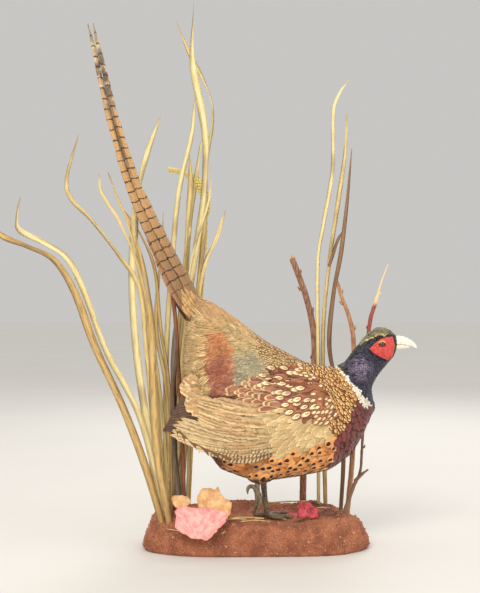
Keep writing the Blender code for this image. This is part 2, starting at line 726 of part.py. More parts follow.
def make_base():
    angles = [2 * math.pi * k / BASE_AROUND for k in range(BASE_AROUND)]
    bm = bmesh.new()
    rings = []
    rim = BASE_TOP_RINGS[-1]
    for share in BASE_TOP_RINGS:
        drop = BASE_RIM_DROP * max(0, share - BASE_ROUNDS_FROM) / (rim - BASE_ROUNDS_FROM)
        places = [rim_point(a, share) for a in angles]
        rings.append([bm.verts.new((p.x, p.y, ground_height(*p) - drop)) for p in places])
    edges = [ground_height(*rim_point(a, rim)) - BASE_RIM_DROP for a in angles]
    for share, height in BASE_SIDE_RINGS:
        rings.append([bm.verts.new((*rim_point(a, share), height * edge)) for a, edge in zip(angles, edges)])
    rings.append([bm.verts.new((*rim_point(a, BASE_UNDER_RIM), 0)) for a in angles])
    for inner, outer in zip(rings, rings[1:]):
        for k in range(BASE_AROUND):
            n = (k + 1) % BASE_AROUND
            bm.faces.new((inner[k], outer[k], outer[n], inner[n]))
    top = bm.verts.new((*BASE_MIDDLE, ground_height(*BASE_MIDDLE)))
    for k in range(BASE_AROUND):
        bm.faces.new((top, rings[0][k], rings[0][(k + 1) % BASE_AROUND]))
    bm.faces.new(rings[-1])
    base_room = object_of("base_room", grown(bm, GAP))
    object_of("base", bm, "earth")
    return base_room


def blade_half_width(share, width):
    """Half the blade's width: narrow at the foot, widest low down, and drawn out to a fine tip."""
    spread = BLADE_FOOT + (1 - BLADE_FOOT) * min(share / BLADE_WIDEST, 1)
    return width / 2 * spread * (1 - share ** BLADE_TAPER) + BLADE_TIP


def make_blade(name, width, turn, points, base_room):
    """A ribbon that Solidify turns into a thin solid."""
    steps = BLADE_BETWEEN * (len(points) - 1)
    bm = bmesh.new()
    rows = []
    for k in range(steps + 1):
        share = k / steps
        here = Vector(smooth_row(points, share))
        before = smooth_row(points, max(share - 0.02, 0))
        after = smooth_row(points, min(share + 0.02, 1))
        along = Vector(after - before).normalized()
        across = along.cross(Vector((0, 1, 0))).normalized()
        across = Matrix.Rotation(math.radians(turn), 3, along) @ across
        half = blade_half_width(share, width)
        rows.append([bm.verts.new(here - across * half), bm.verts.new(here + across * half)])
    for low, high in zip(rows, rows[1:]):
        bm.faces.new((*low, *high[::-1]))
    blade = object_of(name, bm, "grass")
    thicken(blade, BLADE_THICK)
    boolean(blade, base_room)


def make_stem(name, colour, radii, points, base_room):
    stem = tube(name, points, radii, STEM_STEPS, colour)
    if name in STUBS:
        stub_radii, stub_points = STUBS[name]
        boolean(stem, tube(f"{name}_stub", stub_points, stub_radii, len(stub_radii)), "UNION")
    boolean(stem, base_room)


def make_leaf(name, colour, middle, length, width, turn, pitch, roll, lobes, depth, base_room):
    """A crinkled leaf with a lobed edge, as an open sheet that Solidify thickens."""
    bm = bmesh.new()
    rings = []
    for ring in range(1, LEAF_RINGS + 1):
        share = ring / LEAF_RINGS
        row = []
        for k in range(LEAF_AROUND):
            angle = 2 * math.pi * k / LEAF_AROUND
            reach = share * (1 - depth * (0.5 + 0.5 * math.cos(lobes * angle)) * share)
            curl = LEAF_CURL * math.cos(2 * angle + LEAF_CURL_TURN) + LEAF_RIPPLE * math.sin(lobes * angle)
            row.append(bm.verts.new((length * reach * math.cos(angle), width * reach * math.sin(angle),
                                     length * share * share * curl)))
        rings.append(row)
    centre = bm.verts.new((0, 0, 0))
    for k in range(LEAF_AROUND):
        bm.faces.new((centre, rings[0][k], rings[0][(k + 1) % LEAF_AROUND]))
    for inner, outer in zip(rings, rings[1:]):
        for k in range(LEAF_AROUND):
            n = (k + 1) % LEAF_AROUND
            bm.faces.new((inner[k], outer[k], outer[n], inner[n]))
    lean = Matrix.Rotation(math.radians(turn), 3, "Z") @ Matrix.Rotation(math.radians(pitch), 3, "X")
    lean = lean @ Matrix.Rotation(math.radians(roll), 3, "Y")
    bmesh.ops.rotate(bm, cent=(0, 0, 0), matrix=lean, verts=bm.verts)
    bmesh.ops.translate(bm, vec=middle, verts=bm.verts)
    leaf = object_of(name, bm, colour)
    thicken(leaf, LEAF_THICK)
    boolean(leaf, base_room)


def make_mount(base_room):
    for name, (width, turn, points) in BLADES.items():
        make_blade(name, width, turn, points, base_room)
    for name, (colour, radii, points) in STEMS.items():
        make_stem(name, colour, radii, points, base_room)
    for name, (radius, start, end) in STRAWS.items():
        boolean(tube(name, (start, end), (radius, radius), 1, "straw"), base_room)
    for name, shape in LEAVES.items():
        make_leaf(name, *shape, base_room)


clear_scene()
parts = collection("pheasant_mount")
cutters = collection("cutters")
trunk_space, head_part, head_space, wattle_space = make_body()
make_face(head_part, head_space, wattle_space)
make_bill(head_space)
make_tail(trunk_space)
make_wings(trunk_space)
base_space = make_base()
make_legs(trunk_space, base_space)
make_mount(base_space)
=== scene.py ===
"""Looks of the mounted cock pheasant: skin, plumage, head, feet, earth, grasses, twigs and leaves."""

import json
import math
from contextlib import contextmanager

import bmesh
import bpy
import numpy as np
from mathutils import Matrix, Vector, noise
from mathutils.bvhtree import BVHTree

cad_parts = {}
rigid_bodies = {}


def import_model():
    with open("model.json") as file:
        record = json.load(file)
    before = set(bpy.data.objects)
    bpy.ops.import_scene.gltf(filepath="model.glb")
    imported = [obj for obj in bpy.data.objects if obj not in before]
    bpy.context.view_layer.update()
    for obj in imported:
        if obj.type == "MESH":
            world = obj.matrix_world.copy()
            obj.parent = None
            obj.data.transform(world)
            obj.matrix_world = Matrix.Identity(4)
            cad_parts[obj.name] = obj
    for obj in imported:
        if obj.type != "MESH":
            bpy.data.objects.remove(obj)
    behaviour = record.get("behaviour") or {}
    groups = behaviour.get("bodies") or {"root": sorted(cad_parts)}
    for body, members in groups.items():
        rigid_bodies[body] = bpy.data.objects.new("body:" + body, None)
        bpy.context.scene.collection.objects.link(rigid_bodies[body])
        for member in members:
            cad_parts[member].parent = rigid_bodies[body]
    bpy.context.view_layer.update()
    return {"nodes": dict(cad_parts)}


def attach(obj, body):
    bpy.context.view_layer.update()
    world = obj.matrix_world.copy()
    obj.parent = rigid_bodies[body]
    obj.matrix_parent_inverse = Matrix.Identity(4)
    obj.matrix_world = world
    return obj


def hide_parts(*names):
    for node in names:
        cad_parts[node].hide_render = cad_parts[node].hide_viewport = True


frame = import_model()
nodes = frame["nodes"]
MM = 0.001
# How the nodes of a tree are laid out: how many in a row, and the steps between them.
NODES_A_ROW, NODE_STEP, NODE_DROP = 12, 190, 260


# ------------------------------------------------------------------ small tools


def paint(red, green, blue):
    """A colour of the paint chart, 0 to 255 a channel, as the shader's linear numbers."""
    channels = np.array([red, green, blue]) / 255
    return (*np.where(channels < 0.04045, channels / 12.92, ((channels + 0.055) / 1.055) ** 2.4), 1)


class Graph:
    """Makes nodes in a shader or geometry tree and joins them up."""

    def __init__(self, tree):
        self.tree = tree
        self.made = 0

    def put(self, value, socket):
        if isinstance(value, bpy.types.NodeSocket):
            self.tree.links.new(value, socket)
        elif value is not None:
            socket.default_value = value

    def node(self, kind, *inputs, named=None, **settings):
        made = self.tree.nodes.new(kind)
        made.location = (self.made % NODES_A_ROW * NODE_STEP, self.made // NODES_A_ROW * -NODE_DROP)
        self.made += 1
        for key, value in settings.items():
            setattr(made, key, value)
        for key, value in [*enumerate(inputs), *(named or {}).items()]:
            self.put(value, made.inputs[key])
        return made

    def math(self, operation, *values):
        return self.node("ShaderNodeMath", *values, operation=operation).outputs[0]

    def plus(self, *values):
        return self.math("ADD", *values)

    def minus(self, *values):
        return self.math("SUBTRACT", *values)

    def times(self, *values):
        return self.math("MULTIPLY", *values)

    def vector(self, operation, *values):
        return self.node("ShaderNodeVectorMath", *values, operation=operation).outputs[0]

    def scaled(self, vector, factor):
        return self.node("ShaderNodeVectorMath", vector, operation="SCALE",
                         named={"Scale": factor}).outputs[0]

    def between(self, value, low, high, to_low=0.0, to_high=1.0):
        """Value moved smoothly from one range to another, and held at its ends."""
        moved = self.node("ShaderNodeMapRange", value, low, high, to_low, to_high)
        moved.interpolation_type = "SMOOTHSTEP"
        return moved.outputs[0]

    def mix(self, factor, first, second):
        made = self.node("ShaderNodeMix", data_type="RGBA")
        for key, value in ((0, factor), (6, first), (7, second)):
            self.put(value, made.inputs[key])
        return made.outputs[2]

    def attribute(self, name, output="Fac"):
        return self.node("ShaderNodeAttribute", attribute_name=name).outputs[output]

    def place(self, stretch=None):
        """Where a point lies on the model, with each axis stretched by its own share if any is given."""
        here = self.node("ShaderNodeTexCoord").outputs["Object"]
        return here if stretch is None else self.node("ShaderNodeMapping", here,
                                                      named={"Scale": stretch}).outputs[0]

    def axis(self, number):
        """How far a point lies along one of the model's axes, in metres."""
        return self.node("ShaderNodeSeparateXYZ", self.place()).outputs[number]

    def from_side_place(self, x, z):
        """How far a point lies in the side view from a place there in millimetres, in metres."""
        middle = (x * MM, 0, z * MM)
        flat = self.place((1.0, 0.0, 1.0))
        return self.node("ShaderNodeVectorMath", flat, middle, operation="DISTANCE").outputs["Value"]

    def noise(self, scale, detail=3.0, where=None):
        where = where or self.place()
        return self.node("ShaderNodeTexNoise", named={"Vector": where, "Scale": scale,
                                                      "Detail": detail}).outputs[0]

    def wander(self, amount, *noise):
        """Noise that swings to both sides of nought, over an amount in all."""
        return self.times(self.minus(self.noise(*noise), 0.5), amount)

    def mottled(self, scale, low, high, first, second):
        """Two colours in soft patches."""
        return self.mix(self.between(self.noise(scale), low, high), first, second)

    def group(self, group, **named):
        """A shader group placed in this tree, with its inputs set by name."""
        values = {key.replace("_", " "): value for key, value in named.items()}
        return self.node("ShaderNodeGroup", node_tree=group, named=values).outputs


def shader_group(name, inputs, *outputs):
    """A shader node group with its sockets: the group, its graph, its inputs by name and its output node."""
    group = bpy.data.node_groups.new(name, "ShaderNodeTree")
    for label, value in inputs.items():
        kind = "Float" if isinstance(value, float) else "Color"
        socket = group.interface.new_socket(label, in_out="INPUT", socket_type=f"NodeSocket{kind}")
        socket.default_value = value
    for label in outputs:
        kind = "Color" if label == "Color" else "Float"
        group.interface.new_socket(label, in_out="OUTPUT", socket_type=f"NodeSocket{kind}")
    graph = Graph(group)
    return group, graph, graph.node("NodeGroupInput").outputs, graph.node("NodeGroupOutput").inputs


def material(name, roughness=0.6, **settings):
    """A Principled material with its graph, and a function that joins a value to one of its sockets."""
    made = bpy.data.materials.new(name)
    made.use_nodes = True
    shader = made.node_tree.nodes["Principled BSDF"]
    shader.inputs["Roughness"].default_value = roughness
    for key, value in settings.items():
        shader.inputs[key.replace("_", " ")].default_value = value
    graph = Graph(made.node_tree)
    return made, graph, lambda value, socket="Base Color": graph.put(value, shader.inputs[socket])


def bump(graph, join, height, strength=0.5, depth=0.4):
    """Relief of a depth in millimetres."""
    relief = graph.node("ShaderNodeBump", named={"Height": height, "Strength": strength,
                                                 "Distance": depth * MM})
    join(relief.outputs[0], "Normal")


def evaluated_mesh(obj):
    graph = bpy.context.evaluated_depsgraph_get()
    return bpy.data.meshes.new_from_object(obj.evaluated_get(graph), preserve_all_data_layers=True,
                                           depsgraph=graph)


def add_object(name, mesh):
    obj = bpy.data.objects.new(name, mesh)
    bpy.context.scene.collection.objects.link(obj)
    return obj


def mesh_from(name, points, faces):
    mesh = bpy.data.meshes.new(name)
    mesh.from_pydata(np.asarray(points, float).tolist(), [], [list(map(int, f)) for f in faces])
    mesh.update()
    mesh.shade_smooth()
    return mesh


def settle(obj):
    """Applies an object's modifiers, leaving a plain mesh."""
    old = obj.data
    mesh = evaluated_mesh(obj)
    obj.modifiers.clear()
    obj.data = mesh
    bpy.data.meshes.remove(old)


def remesh(obj, size):
    """Closes an object into one even net of a size in millimetres."""
    net = obj.modifiers.new("net", "REMESH")
    net.mode = "VOXEL"
    net.voxel_size = size * MM
    settle(obj)


def smooth(obj, rounds, group=""):
    relax = obj.modifiers.new("relax", "SMOOTH")
    relax.vertex_group = group
    relax.factor = 0.5
    relax.iterations = rounds
    settle(obj)


@contextmanager
def opened(mesh):
    """A mesh opened for work on its corners and faces, and closed again after it."""
    bm = bmesh.new()
    bm.from_mesh(mesh)
    yield bm
    bm.to_mesh(mesh)
    bm.free()


def read_points(mesh, name=None, width=3):
    """Vertex places, or a named vertex attribute, as an array."""
    values = np.empty(len(mesh.vertices) * width, np.float32)
    if name is None:
        mesh.vertices.foreach_get("co", values)
    else:
        mesh.attributes[name].data.foreach_get("vector" if width == 3 else "value", values)
    return values.reshape(-1, width) if width > 1 else values


def read_normals(mesh):
    values = np.empty(len(mesh.vertices) * 3, np.float32)
    mesh.vertices.foreach_get("normal", values)
    return values.reshape(-1, 3)


def write_points(mesh, points):
    mesh.vertices.foreach_set("co", np.asarray(points, np.float32).ravel())
    mesh.update()


def store(mesh, name, values):
    """Stores one number, vector or colour a vertex under a name."""
    values = np.asarray(values, np.float32)
    kind, key = {1: ("FLOAT", "value"), 3: ("FLOAT_VECTOR", "vector"), 4: ("FLOAT_COLOR", "color")}[
        1 if values.ndim == 1 else values.shape[1]
    ]
    mesh.attributes.new(name, kind, "POINT").data.foreach_set(key, values.ravel())


def store_map(mesh, corners):
    """Stores the bake's map, one pair of numbers a corner."""
    layer = mesh.uv_layers.new(name="OFBake")
    layer.uv.foreach_set("vector", np.asarray(corners, np.float32).ravel())


def corner_vertices(mesh):
    found = np.empty(len(mesh.loops), np.int32)
    mesh.loops.foreach_get("vertex_index", found)
    return found


def wear(obj, slot, *replaced):
    """Rides a finished piece on the model and hides the solids that it stands for. The slot, meant to name
    its finish, is not used.
    """
    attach(obj, "root")
    if replaced:
        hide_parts(*replaced)


def closed_piece(name, points, faces, finish, slot, *replaced):
    """A closed piece from points in millimetres, its faces turned outwards, in its finish and ridden."""
    mesh = mesh_from(name, np.array([tuple(p) for p in points]) * MM, faces)
    with opened(mesh) as bm:
        bmesh.ops.remove_doubles(bm, verts=bm.verts, dist=1e-7)
        bmesh.ops.recalc_face_normals(bm, faces=bm.faces)
    mesh.shade_smooth()
    mesh.materials.append(finish)
    wear(add_object(name, mesh), slot, *replaced)


def merged_copy(name, *of):
    """Solids copied into one mesh, with the corners of their loose triangles joined."""
    joined = bmesh.new()
    for node in of:
        joined.from_mesh(nodes[node].data)
    bmesh.ops.remove_doubles(joined, verts=joined.verts, dist=1e-6)
    mesh = bpy.data.meshes.new(name)
    joined.to_mesh(mesh)
    joined.free()
    mesh.shade_smooth()
    return add_object(name, mesh)


def along_rows(rows, share):
    """Rows of numbers read at shares from 0 to 1 along them, on a smooth curve through each row."""
    rows = np.asarray(rows, float)
    place = np.clip(np.asarray(share, float), 0, 1) * (len(rows) - 1)
    first = np.minimum(place.astype(int), len(rows) - 2)
    t = (place - first)[..., None]
    padded = np.vstack([2 * rows[0] - rows[1], rows, 2 * rows[-1] - rows[-2]])
    a, b, c, d = (padded[first + k] for k in range(4))
    return 0.5 * (2 * b + (c - a) * t + (2 * a - 5 * b + 4 * c - d) * t**2 + (3 * b - a - 3 * c + d) * t**3)


def at_share(rows, share):
    """Columns of a table read by straight lines at a share that each row states first."""
    rows = np.array(rows, float)
    return [np.interp(share, rows[:, 0], rows[:, k]) for k in range(1, rows.shape[1])]


def smoothstep(low, high, value):
    t = np.clip((np.asarray(value, float) - low) / (high - low), 0, 1)
    return t * t * (3 - 2 * t)


def unit(vectors):
    vectors = np.asarray(vectors, float)
    return vectors / np.maximum(np.linalg.norm(vectors, axis=-1, keepdims=True), 1e-9)


def inside(outline, x, z):
    """Which places lie inside an outline in the side view."""
    found = np.zeros(len(x), bool)
    points = np.array(outline, float)
    for (ax, az), (bx, bz) in zip(points, np.roll(points, -1, 0)):
        crosses = (az > z) != (bz > z)
        found ^= crosses & (x < (bx - ax) * (z - az) / (bz - az + 1e-12) + ax)
    return found


# ------------------------------------------------------------------ stage, lamps and camera

CAMERA_PLACE = (-0.022, -1.65, 0.389)
CAMERA_LENS = 64.6
LAMPS_LOOK_AT = (0, 0, 0.35)
# Each lamp's name, place in metres, power, size and colour.
LAMPS = (
    ("key", (-0.7, -1.9, 1.9), 34, 1.0, (1, 0.95, 0.87)),
    ("fill", (1.9, -1.3, 0.8), 9, 1.4, (1, 0.98, 0.95)),
    ("back", (0.5, 1.7, 1.7), 16, 1.2, (1, 0.98, 0.95)),
)


def set_stage():
    points = [(-14, -14, 0), (14, -14, 0), (14, 14, 0), (-14, 14, 0)]
    floor = add_object("floor", mesh_from("floor", points, [(0, 1, 2, 3)]))
    stuff, graph, join = material("pale_floor", 0.9)
    join(graph.mix(graph.noise(3.0), paint(232, 229, 224), paint(224, 221, 216)))
    floor.data.materials.append(stuff)
    world = bpy.data.worlds.new("studio")
    bpy.context.scene.world = world
    world.use_nodes = True
    sky = Graph(world.node_tree)
    soft = world.node_tree.nodes["Background"]
    soft.inputs[0].default_value = (1, 0.985, 0.96, 1)
    soft.inputs[1].default_value = 0.72
    seen = sky.node("ShaderNodeBackground", (1, 0.985, 0.96, 1), 0.575)
    both = sky.node("ShaderNodeMixShader", sky.node("ShaderNodeLightPath").outputs["Is Camera Ray"],
                    soft.outputs[0], seen.outputs[0])
    world.node_tree.links.new(both.outputs[0], world.node_tree.nodes["World Output"].inputs[0])
    for name, place, power, size, tint in LAMPS:
        lamp = bpy.data.lights.new(name, "AREA")
        lamp.energy = power
        lamp.size = size
        lamp.color = tint
        made = bpy.data.objects.new(name, lamp)
        made.location = place
        made.rotation_euler = (Vector(LAMPS_LOOK_AT) - Vector(place)).to_track_quat("-Z", "Y").to_euler()
        bpy.context.scene.collection.objects.link(made)
    lens = bpy.data.cameras.new("camera")
    lens.lens = CAMERA_LENS
    camera = bpy.data.objects.new("camera", lens)
    camera.location = CAMERA_PLACE
    camera.rotation_euler = (math.radians(90), 0, 0)
    bpy.context.scene.collection.objects.link(camera)
    bpy.context.scene.camera = camera
    bpy.context.scene.view_settings.view_transform = "Standard"


# ------------------------------------------------------------------ where each kind of feather grows

# The white ring lies along a line in the side view, in millimetres, and widens from the nape to the throat.
RING_START = np.array((122, 287))
RING_ALONG = np.array((0.666, -0.746))
RING_LENGTH = 86


def from_ring(x, z):
    """How far a place lies to the head's side of the ring's upper edge, and how wide the ring is there."""
    away = np.stack([x, z], -1) - RING_START
    share = np.clip(away @ RING_ALONG / RING_LENGTH, 0, 1.2)
    wide = (1.3 + 11 * share**1.7) * (1 - smoothstep(0.92, 1.03, share))
    return away @ np.array((-RING_ALONG[1], RING_ALONG[0])), wide


# The outline of each patch of plumage in the side view, in millimetres. A later one lies over an earlier one.
PATCHES = {
    "olive": ((-130, 420), (-26, 420), (-12, 345), (-20, 322), (-37, 262), (-30, 240), (-110, 240),
              (-130, 300)),
    "back": ((-32, 420), (70, 420), (72, 280), (36, 274), (8, 262), (7, 288), (-6, 324)),
    "rump": ((-52, 352), (-24, 342), (-6, 320), (6, 290), (8, 262), (-28, 250), (-42, 268), (-44, 304)),
    "rust": ((-72, 330), (-52, 334), (-41, 304), (-35, 272), (-34, 240), (-68, 240), (-78, 266), (-77, 304)),
    "maroon": ((-40, 254), (6, 270), (30, 264), (44, 232), (34, 212), (4, 210), (-30, 222)),
    "covert": ((-20, 220), (20, 220), (44, 216), (60, 203), (86, 198), (112, 199), (130, 204), (118, 182),
               (84, 160), (46, 150), (0, 148), (-20, 160)),
    "scapular": ((4, 256), (10, 272), (30, 280), (66, 284), (86, 270), (96, 244), (106, 216), (100, 200),
                 (86, 200), (64, 205), (46, 216), (30, 234)),
    "shoulder": ((62, 286), (72, 284), (90, 268), (106, 244), (124, 216), (118, 198), (96, 198), (88, 206),
                 (92, 228), (82, 250), (70, 270)),
    "mantle": ((68, 420), (128, 420), (160, 250), (146, 205), (130, 182), (112, 190), (124, 214), (106, 242),
               (91, 267), (70, 283)),
    "breast": ((160, 255), (230, 225), (190, 80), (104, 80), (106, 116), (120, 150), (130, 182), (146, 206)),
}
KINDS = ("flank", *PATCHES, "shag", "belly", "vent", "ring", "neck", "nape", "face", "crown", "brow",
         "flight")
FACE_FROM = 150
CROWN_LINE = ((150, 306), (160, 313), (174, 321), (188, 330), (202, 329.5), (216, 331))
WATTLE_EDGE = ((176, 308.5), (183.6, 316), (192.8, 323), (202, 326.6), (213.5, 327.5), (216.5, 314.6),
               (214.2, 300.8), (210.4, 292.8), (205, 290.8), (194.3, 295.6), (185.1, 301))
WATTLE_INNER = np.mean(WATTLE_EDGE, axis=0) + 0.93 * (np.array(WATTLE_EDGE) - np.mean(WATTLE_EDGE, axis=0))


def kinds_at(points, outward, on_wing):
    """The kind of feather at each place, as an index into KINDS."""
    x, y, z = points.T
    kind = np.zeros(len(x), int)

    def mark(where, name):
        kind[where] = KINDS.index(name)

    mark((z > 194) & (x > -20), "covert")
    mark((z > 206) & (x < 100), "maroon")
    mark((z > 206) & (x < -40), "olive")
    mark(z > 262, "back")
    for name, outline in PATCHES.items():
        mark(inside(outline, x, z), name)
    mark(~on_wing & (x < np.interp(z, (256, 350), (-86, -93))) & (z > 256) & (z < 362), "shag")
    under = (outward[:, 2] < -0.45) & (z < 170) & ~on_wing
    mark(under & (np.abs(y) < 13), "belly")
    mark(~on_wing & (x < -52) & (z < 250), "vent")
    mark(~on_wing & (np.hypot(x - 8, z - 112) < 30) & (z < 108), "belly")
    mark(on_wing & (x < -18) & (z < 240), "flight")
    ahead, wide = from_ring(x, z)
    front = x > 100
    mark(front & (ahead > -wide), "ring")
    mark(front & (ahead > 0), "neck")
    nape_line = np.interp(z, (285, 345), (132, 196))
    mark(front & (ahead > 0) & (x < nape_line + 9), "nape")
    mark((x > 203) | ((x > 170) & (z > 316)), "face")
    line = np.array(CROWN_LINE)
    over = z - np.interp(x, line[:, 0], line[:, 1])
    mark((x > FACE_FROM) & (over > 0), "crown")
    # The pale line along the crown's lower edge: partly brow stripe, partly painted highlight.
    mark((x > 172) & (x < 203) & (over > -0.9) & (over < 0.7), "brow")
    return kind


# Which way the coat lies: a place in the side view in millimetres, and the angle there from +X.
FLOW = np.array(((235, 322, 180), (208, 338, 183), (186, 336, 205), (198, 300, 195), (176, 316, 225),
                 (168, 285, 228), (140, 280, 205), (150, 255, 232), (178, 225, 252), (182, 195, 250),
                 (160, 155, 212), (130, 110, 188), (125, 235, 212), (116, 205, 208), (98, 270, 186),
                 (60, 240, 182), (20, 250, 174), (60, 295, 160), (0, 330, 150), (-50, 358, 138),
                 (-88, 380, 122), (0, 310, 212), (-10, 280, 214), (-46, 310, 232), (-46, 270, 222),
                 (-92, 340, 170), (-92, 300, 192), (104, 190, 214), (80, 185, 210), (50, 185, 202),
                 (20, 175, 190), (0, 180, 172), (-60, 200, 160), (-95, 250, 168), (90, 140, 190),
                 (20, 130, 180), (-50, 130, 170), (-60, 180, 165), (20, 100, 180),), float)


def flow_at(points, outward):
    """The lie of the coat at each place, along the skin."""
    away = np.hypot(points[:, None, 0] - FLOW[:, 0], points[:, None, 2] - FLOW[:, 1])
    weight = 1 / (away + 6) ** 3
    turn = np.radians(FLOW[:, 2])
    flow = np.stack([weight @ np.cos(turn), np.zeros(len(points)), weight @ np.sin(turn)], -1)
    flow = unit(flow)
    return unit(flow - outward * (flow * outward).sum(1, keepdims=True))


# ------------------------------------------------------------------ skin

FLESH = ("trunk", "neck", "head", "thigh_left", "thigh_right", "wing_left", "wing_right")
SKIN_NET = 2.2
DITHER = 4
# Wings lie further than this from the middle of the bird, and the head lies ahead of this in x.
WING_FROM, HEAD_FROM = 36, 170
# Where along a feather the part of it lies that the next ones leave open.
TIP_SHARE = 0.74


def coat_depth(points):
    """How deep the feathers lie over the skin, in millimetres."""
    x, _, z = points.T
    ahead, _ = from_ring(x, z)
    neck = smoothstep(-4, 10, ahead) * (x > 100)
    face = smoothstep(172, 190, x) * smoothstep(282, 300, z)
    face = face - 2.0 * inside(WATTLE_INNER, x, z) * (x > HEAD_FROM)
    rear = 1 - smoothstep(-118, -84, x)
    return 2.7 - 0.9 * neck - 0.9 * face - 0.9 * rear * (z < 270)


def crease_skin(skin, wings, rest):
    """Marks the hollow where wing and body meet above, for the first smoothing to fill."""
    points = read_points(skin.data)
    far = np.array([max(shell.find_nearest(Vector(p))[3] for shell in (wings, rest)) for p in points]) / MM
    x, _, z = points.T / MM
    crease = np.round((1 - smoothstep(3, 14, far)) * smoothstep(196, 206, z) * smoothstep(-30, 0, x), 1)
    group = skin.vertex_groups.new(name="crease")
    for weight in np.unique(crease):
        group.add(np.flatnonzero(crease == weight).tolist(), float(weight), "REPLACE")


def mark_skin(mesh, wings, rest):
    """Stores on the skin which way it faces, how the coat lies, what grows where and its colours."""
    points, normals = read_points(mesh) / MM, read_normals(mesh)
    store(mesh, "outward", normals)
    store(mesh, "flow", flow_at(points, normals))
    to_wings, to_rest = (np.array([shell.find_nearest(Vector(p))[3] for p in points * MM])
                         for shell in (wings, rest))
    on_wing = (to_wings < to_rest + MM) & (np.abs(points[:, 1]) > WING_FROM)
    open_skin = ~(inside(WATTLE_INNER, points[:, 0], points[:, 2]) & (points[:, 0] > HEAD_FROM))
    draw = np.random.default_rng(11)
    flow = read_points(mesh, "flow")
    for kind, name in enumerate(KINDS):
        tips = points + flow * (TIP_SHARE * PLUMAGE[name].get("size", (0, 0))[0])
        share = np.zeros(len(points))
        for _ in range(DITHER):
            moved = tips + draw.normal(0, 0.5 if name in HEAD_KINDS else 1.4, points.shape) * (1, 0, 1)
            share += (kinds_at(moved, normals, on_wing) == kind) / DITHER
        store(mesh, name, share * open_skin)
    # Each kind's under colour; under the wing's long feathers it is painted shade.
    colours = np.array([PLUMAGE[name]["under"] for name in KINDS])
    for label, ahead in (("down", 0), ("tip_down", 15)):
        moved = points + flow * ahead + draw.normal(0, 1.5, points.shape) * (1, 0, 1)
        store(mesh, label, colours[kinds_at(moved, normals, on_wing)])


def make_skin():
    """One skin through the solids of flesh, drawn in by the coat's depth, that knows what grows where."""
    skin = merged_copy("skin", *FLESH)
    remesh(skin, SKIN_NET)
    copies = [merged_copy("wings_copy", "wing_left", "wing_right"), merged_copy("rest_copy", *FLESH[:5])]
    shells = [BVHTree.FromObject(copy, bpy.context.evaluated_depsgraph_get()) for copy in copies]
    for copy in copies:
        bpy.data.objects.remove(copy)
    crease_skin(skin, *shells)
    smooth(skin, 40, "crease")
    smooth(skin, 8)
    points = read_points(skin.data)
    write_points(skin.data, points - read_normals(skin.data) * (coat_depth(points / MM) * MM)[:, None])
    smooth(skin, 5)
    skin.vertex_groups.clear()
    mesh = skin.data
    mark_skin(mesh, *shells)
    mesh.shade_smooth()
    stuff, graph, join = material("down_skin", 0.9)
    down = graph.attribute("down", "Color")
    join(graph.mottled(900.0, 0.35, 0.7, down, graph.scaled(down, 0.7)))
    bump(graph, join, graph.noise(1600.0), 0.6, 0.5)
    mesh.materials.append(stuff)
    return skin


# ------------------------------------------------------------------ shader effects that many finishes share


def make_rim_lines():
    """Marks a line that follows a vane's outline, from one depth in from the edge to another."""
    sockets = {"Outer": 0.0, "Inner": 0.2, "From tip": 1.0}
    group, graph, inputs, outputs = shader_group("vane_line", sockets, "Mask")
    aside = graph.minus(1.0, graph.math("ABSOLUTE", graph.attribute("across")))
    ahead = graph.times(graph.minus(1.0, graph.attribute("along")), 2.6)
    depth = graph.math("SMOOTH_MIN", aside, ahead, 0.25)
    depth = graph.plus(depth, graph.wander(0.1, 700.0))
    low = graph.node("ShaderNodeMapRange", depth, graph.minus(inputs["Outer"], 0.08), inputs["Outer"])
    high = graph.node("ShaderNodeMapRange", depth, inputs["Inner"], graph.plus(inputs["Inner"], 0.08))
    line = graph.times(low.outputs[0], graph.minus(1.0, high.outputs[0]))
    reach = graph.node("ShaderNodeMapRange", graph.attribute("along"), graph.minus(1.0, inputs["From tip"]),
                       graph.minus(1.05, inputs["From tip"]))
    graph.put(graph.times(line, reach.outputs[0]), outputs["Mask"])
    return group


def make_spot():
    """Marks a soft oval on a vane."""
    sockets = {"At": 0.8, "Reach along": 0.2, "Reach across": 0.5, "Point": 0.0}
    group, graph, inputs, outputs = shader_group("vane_spot", sockets, "Mask")
    ahead = graph.minus(graph.attribute("along"), inputs["At"])
    ahead = graph.math("DIVIDE", ahead, inputs["Reach along"])
    narrow = graph.plus(1.0, graph.times(graph.math("MINIMUM", ahead, 0.0), inputs["Point"]))
    narrow = graph.times(inputs["Reach across"], graph.math("MAXIMUM", narrow, 0.15))
    aside = graph.math("DIVIDE", graph.attribute("across"), narrow)
    far = graph.plus(graph.math("POWER", graph.math("ABSOLUTE", ahead), 2.0),
                     graph.math("POWER", graph.math("ABSOLUTE", aside), 2.0))
    far = graph.plus(far, graph.wander(0.7, 500.0))
    graph.put(graph.between(far, 0.75, 1.15, 1.0, 0.0), outputs["Mask"])
    return group


def make_barbs():
    """The fine ribs of a vane, which slope from its shaft to its edge, with the shaft itself."""
    group, graph, inputs, outputs = shader_group("barbs", {"Count": 40.0, "Slope": 0.4}, "Height", "Shaft")
    aside = graph.math("ABSOLUTE", graph.attribute("across"))
    place = graph.minus(graph.attribute("along"), graph.times(aside, inputs["Slope"]))
    wave = graph.math("SINE", graph.times(place, graph.times(inputs["Count"], 2 * math.pi)))
    shaft = graph.between(aside, 0.03, 0.09, 1.0, 0.0)
    graph.put(graph.plus(graph.times(wave, 0.25), shaft), outputs["Height"])
    graph.put(shaft, outputs["Shaft"])
    return group


